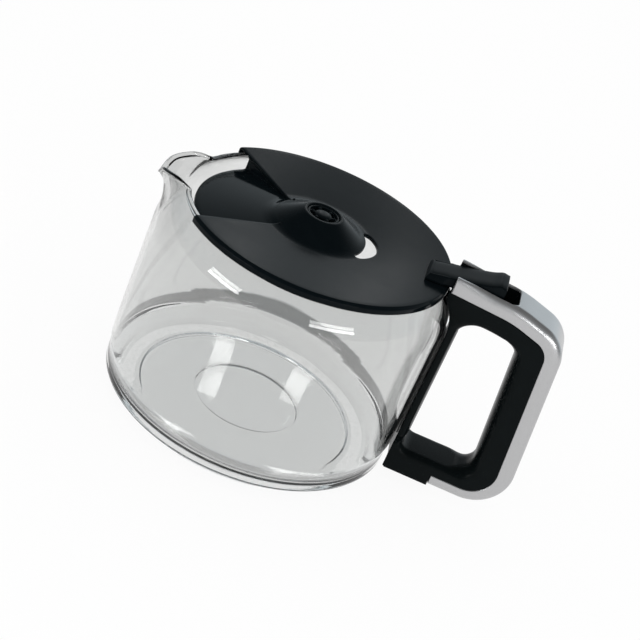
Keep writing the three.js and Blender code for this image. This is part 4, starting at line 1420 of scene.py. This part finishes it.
def plain_steel(finish):
    """Turned steel: fine rings of roughness along the length."""
    material, tree, surface, place = new_material("steel")
    turned = put(tree, "Mapping", {"Vector": place, "Scale": (400, 40, 400)}).outputs[0]
    lines = put(tree, "TexNoise", {"Vector": turned, "Scale": 8.0, "Detail": 3.0}).outputs["Fac"]
    fill(tree, surface, {
        "Base Color": tinted(tree, finish.steel_colour, lines, 0.12),
        "Roughness": varied(tree, lines, 0.2, 0.4),
        "Metallic": 1.0,
    })
    return material


def cured_silicone(finish):
    """Cured silicone: soft lumps and a dull face."""
    material, tree, surface, place = new_material("silicone")
    lumps = put(tree, "TexNoise", {"Vector": place, "Scale": 350.0, "Detail": 2.0}).outputs["Fac"]
    fill(tree, surface, {
        "Base Color": tinted(tree, finish.silicone_colour, lumps, 0.2),
        "Roughness": varied(tree, lumps, 0.5, 0.7),
        "Normal": bumped(tree, lumps, 0.4, 0.3 * MM),
    })
    return material


# Stage

# The backdrop's brightness along Z, Y and X of the direction: from where to where, and from what to what
WORLD_FADES = {"Z": (0.3, 0.85, 1.0, 0.03), "Y": (-0.3, 0.6, 0.2, 0.95), "X": (-0.5, -0.16, 0.6, 1.05)}
# Least brightness of the backdrop through glass
WORLD_THROUGH = 0.75
WORLD_TONE = (0.85, 0.95, 1, 1)
WORLD_LIGHT = 0.9
FLOOR_COLOUR = (0.9, 0.9, 0.9, 1)
# How much of the floor's look is plain white, and not lit by the lamps
FLOOR_GLOW = 0.93
LAMP_TARGET = (AXIS_X, 0, 0.06)
# Place, width, height and power of each lamp
LAMPS = {
    "left softbox": ((-0.75, -0.75, 0.24), 0.5, 0.09, 2.0),
    "right softbox": ((0.63, -0.86, 0.29), 0.62, 0.09, 2.6),
    "rear left strip": ((AXIS_X - 0.068, 0.8, 0.47), 0.024, 0.1, 0.035),
    "rear right strip": ((AXIS_X + 0.030, 0.8, 0.44), 0.024, 0.1, 0.035),
}


def add_softbox(name, place, width, height, power):
    """A rectangular lamp, hidden from the camera, that shines from a place towards the carafe."""
    lamp = bpy.data.lights.new(name, "AREA")
    lamp.shape = "RECTANGLE"
    lamp.size = width
    lamp.size_y = height
    lamp.energy = power
    box = bpy.data.objects.new(name, lamp)
    box.location = place
    box.rotation_euler = (Vector(LAMP_TARGET) - Vector(place)).to_track_quat("-Z", "Y").to_euler()
    box.visible_camera = False
    bpy.context.scene.collection.objects.link(box)


def seen_directly(tree):
    """1 for rays that come from the camera, from glossy faces or through glass, and 0 for diffuse light."""
    rays = put(tree, "LightPath").outputs
    both = maths(tree, "ADD", rays["Is Camera Ray"], rays["Is Glossy Ray"])
    return maths(tree, "ADD", both, rays["Is Transmission Ray"], use_clamp=True)


def add_world():
    """A studio: white to the camera, a pale backdrop behind, a dark room above, in front and on the left.

    Glossy faces and glass see the backdrop, which is slightly blue and fades upwards, towards the camera and
    to the left. Through glass it keeps a least brightness. Diffuse light is even.
    """
    world = bpy.data.worlds.new("Studio")
    bpy.context.scene.world = world
    world.use_nodes = True
    tree = world.node_tree
    tree.nodes.clear()
    way = put(tree, "SeparateXYZ", {0: put(tree, "TexCoord").outputs["Generated"]}).outputs
    low, behind, aside = (
        ramp(tree, way[axis], *limits, interpolation_type="SMOOTHSTEP")
        for axis, limits in WORLD_FADES.items())
    pale = maths(tree, "MULTIPLY", maths(tree, "MULTIPLY", low, behind), aside)
    rays = put(tree, "LightPath").outputs
    through = maths(tree, "MULTIPLY", rays["Is Transmission Ray"], WORLD_THROUGH)
    least = maths(tree, "MAXIMUM", through, rays["Is Camera Ray"])
    shown = maths(tree, "MAXIMUM", pale, least)
    tone = mixed(tree, rays["Is Camera Ray"], WORLD_TONE, WHITE)
    seen = put(tree, "Background", {"Color": tone, "Strength": shown})
    light = put(tree, "Background", {"Color": WHITE, "Strength": WORLD_LIGHT})
    mix = put(tree, "MixShader", {0: seen_directly(tree), 1: light.outputs[0], 2: seen.outputs[0]})
    put(tree, "OutputWorld", {"Surface": mix.outputs[0]})


def add_floor(size):
    """A pale floor that shows white, with the object's shadow as a part of it."""
    half = size / 2
    corners = [(-half, -half, 0), (half, -half, 0), (half, half, 0), (-half, half, 0)]
    mesh = bpy.data.meshes.new("floor")
    mesh.from_pydata(corners, [], [(0, 1, 2, 3)])
    material = bpy.data.materials.new("floor")
    material.use_nodes = True
    tree = material.node_tree
    tree.nodes.clear()
    diffuse = put(tree, "BsdfDiffuse", {"Color": FLOOR_COLOUR})
    glow = put(tree, "Emission", {"Color": WHITE, "Strength": 1.0})
    cover = maths(tree, "MULTIPLY", seen_directly(tree), FLOOR_GLOW)
    mix = put(tree, "MixShader", {0: cover, 1: diffuse.outputs[0], 2: glow.outputs[0]})
    put(tree, "OutputMaterial", {"Surface": mix.outputs[0]})
    mesh.materials.append(material)
    floor = bpy.data.objects.new("floor", mesh)
    bpy.context.scene.collection.objects.link(floor)


def add_camera(stage):
    """The camera at the photograph's place: turned, tilted down and rolled about its own view."""
    lens = bpy.data.cameras.new("camera")
    lens.lens = stage.camera_lens
    camera = bpy.data.objects.new("camera", lens)
    turn = Matrix.Rotation(stage.camera_turn, 4, "Z")
    tilt = Matrix.Rotation(math.pi / 2 - stage.camera_tilt, 4, "X")
    roll = Matrix.Rotation(stage.camera_roll, 4, "Z")
    place = Matrix.Translation((AXIS_X + stage.camera_x, stage.camera_y, stage.camera_z))
    camera.matrix_world = place @ turn @ tilt @ roll
    bpy.context.scene.collection.objects.link(camera)
    bpy.context.scene.camera = camera


# Operators

class CARAFE_OT_stage(bpy.types.Operator):
    """Adds the camera, the floor, the world and the lamps"""
    bl_idname = "carafe.stage"
    bl_label = "Stage"

    def execute(self, context):
        stage = context.scene.carafe_stage
        context.scene.view_settings.view_transform = "Standard"
        add_camera(stage)
        add_world()
        add_floor(stage.floor_size)
        for name, lamp in LAMPS.items():
            add_softbox(name, *lamp)
        return {"FINISHED"}


class CARAFE_OT_glass_jug(bpy.types.Operator):
    """Makes the glass jug"""
    bl_idname = "carafe.glass_jug"
    bl_label = "Glass Jug"

    def execute(self, context):
        scene = context.scene
        glass = clear_glass(scene.carafe_finish)
        add_piece("jug", [glass_jug_solid(scene.carafe_jug)], glass, JUG_BODY, ["glass_jug"])
        return {"FINISHED"}


class CARAFE_OT_lid(bpy.types.Operator):
    """Makes the lid cover, the tray below it and the drip inlet"""
    bl_idname = "carafe.lid"
    bl_label = "Lid"

    def execute(self, context):
        lid, finish = context.scene.carafe_lid, context.scene.carafe_finish
        plastic = (finish, finish.lid_colour, finish.lid_roughness)
        satin = moulded_plastic("lid_satin", *plastic, skirt_polish)
        polished = moulded_plastic("lid_polished", *plastic, NEARLY_ALL)
        inlet_satin = moulded_plastic("inlet_satin", *plastic, HARDLY_ANY)
        add_piece("cover", [lid_cover_solid(lid)], satin, LID_BODY, ["lid_cover"])
        add_piece("tray", lid_tray_solids(lid), polished, LID_BODY, ["lid_tray"])
        add_piece("inlet", drip_inlet_solids(lid), inlet_satin, LID_BODY, ["drip_inlet"])
        return {"FINISHED"}


class CARAFE_OT_thumb_lever(bpy.types.Operator):
    """Makes the thumb lever"""
    bl_idname = "carafe.thumb_lever"
    bl_label = "Thumb Lever"

    def execute(self, context):
        scene = context.scene
        finish = scene.carafe_finish
        plastic = (finish, finish.lid_colour, finish.lever_roughness)
        satin = moulded_plastic("lever_satin", *plastic, HARDLY_ANY)
        solid = thumb_lever_solid(scene.carafe_lever, scene.carafe_lid)
        add_piece("lever", [solid], satin, LID_BODY, ["thumb_lever"])
        return {"FINISHED"}


class CARAFE_OT_handle(bpy.types.Operator):
    """Makes the handle body and its silver trim"""
    bl_idname = "carafe.handle"
    bl_label = "Handle"

    def execute(self, context):
        scene = context.scene
        handle, finish = scene.carafe_handle, scene.carafe_finish
        plastic = (finish, finish.handle_colour, finish.handle_roughness)
        black = moulded_plastic("handle_black", *plastic, loop_polish)
        body = handle_body_solid(handle, scene.carafe_jug)
        add_piece("grip", [body], black, JUG_BODY, ["handle_body"])
        silver = satin_silver(finish)
        add_piece("trim", [handle_trim_solid(handle)], silver, JUG_BODY, ["handle_trim"])
        return {"FINISHED"}


class CARAFE_OT_fasteners(bpy.types.Operator):
    """Makes the trim's screw and gives the hinge pin and the bond strip their finish"""
    bl_idname = "carafe.fasteners"
    bl_label = "Fasteners"

    def execute(self, context):
        finish = context.scene.carafe_finish
        steel = plain_steel(finish)
        add_piece("screw", [trim_screw_solid()], steel, JUG_BODY, ["trim_screw"])
        for node, material in (("hinge_pin", steel), ("handle_bond", cured_silicone(finish))):
            mesh = frame["nodes"][node].data
            mesh.materials.clear()
            mesh.materials.append(material)
        return {"FINISHED"}


class CARAFE_PT_build(bpy.types.Panel):
    """Lists the carafe's pieces in the 3D view's sidebar"""
    bl_idname = "CARAFE_PT_build"
    bl_label = "Coffee Carafe"
    bl_space_type = "VIEW_3D"
    bl_region_type = "UI"
    bl_category = "Carafe"

    def draw(self, context):
        for operator in OPERATORS:
            self.layout.operator(operator.bl_idname)
        for name in SETTINGS:
            settings = getattr(context.scene, name)
            for key in type(settings).__annotations__:
                self.layout.prop(settings, key)


SETTINGS = {
    "carafe_jug": JugSizes,
    "carafe_lid": LidSizes,
    "carafe_lever": LeverSizes,
    "carafe_handle": HandleSizes,
    "carafe_finish": Finishes,
    "carafe_stage": StageSettings,
}
OPERATORS = (
    CARAFE_OT_stage,
    CARAFE_OT_glass_jug,
    CARAFE_OT_lid,
    CARAFE_OT_thumb_lever,
    CARAFE_OT_handle,
    CARAFE_OT_fasteners,
)
CLASSES = (*SETTINGS.values(), *OPERATORS, CARAFE_PT_build)


def register():
    """Registers the classes and puts the settings on the scene."""
    for kind in CLASSES:
        bpy.utils.register_class(kind)
    for name, kind in SETTINGS.items():
        setattr(bpy.types.Scene, name, PointerProperty(type=kind))


def unregister():
    """Takes the settings and the classes away again."""
    for name in SETTINGS:
        delattr(bpy.types.Scene, name)
    for kind in reversed(CLASSES):
        bpy.utils.unregister_class(kind)


def main():
    """Builds the stage and every piece."""
    register()
    bpy.ops.carafe.stage()
    bpy.ops.carafe.glass_jug()
    bpy.ops.carafe.lid()
    bpy.ops.carafe.thumb_lever()
    bpy.ops.carafe.handle()
    bpy.ops.carafe.fasteners()


if __name__ == "__main__":
    main()
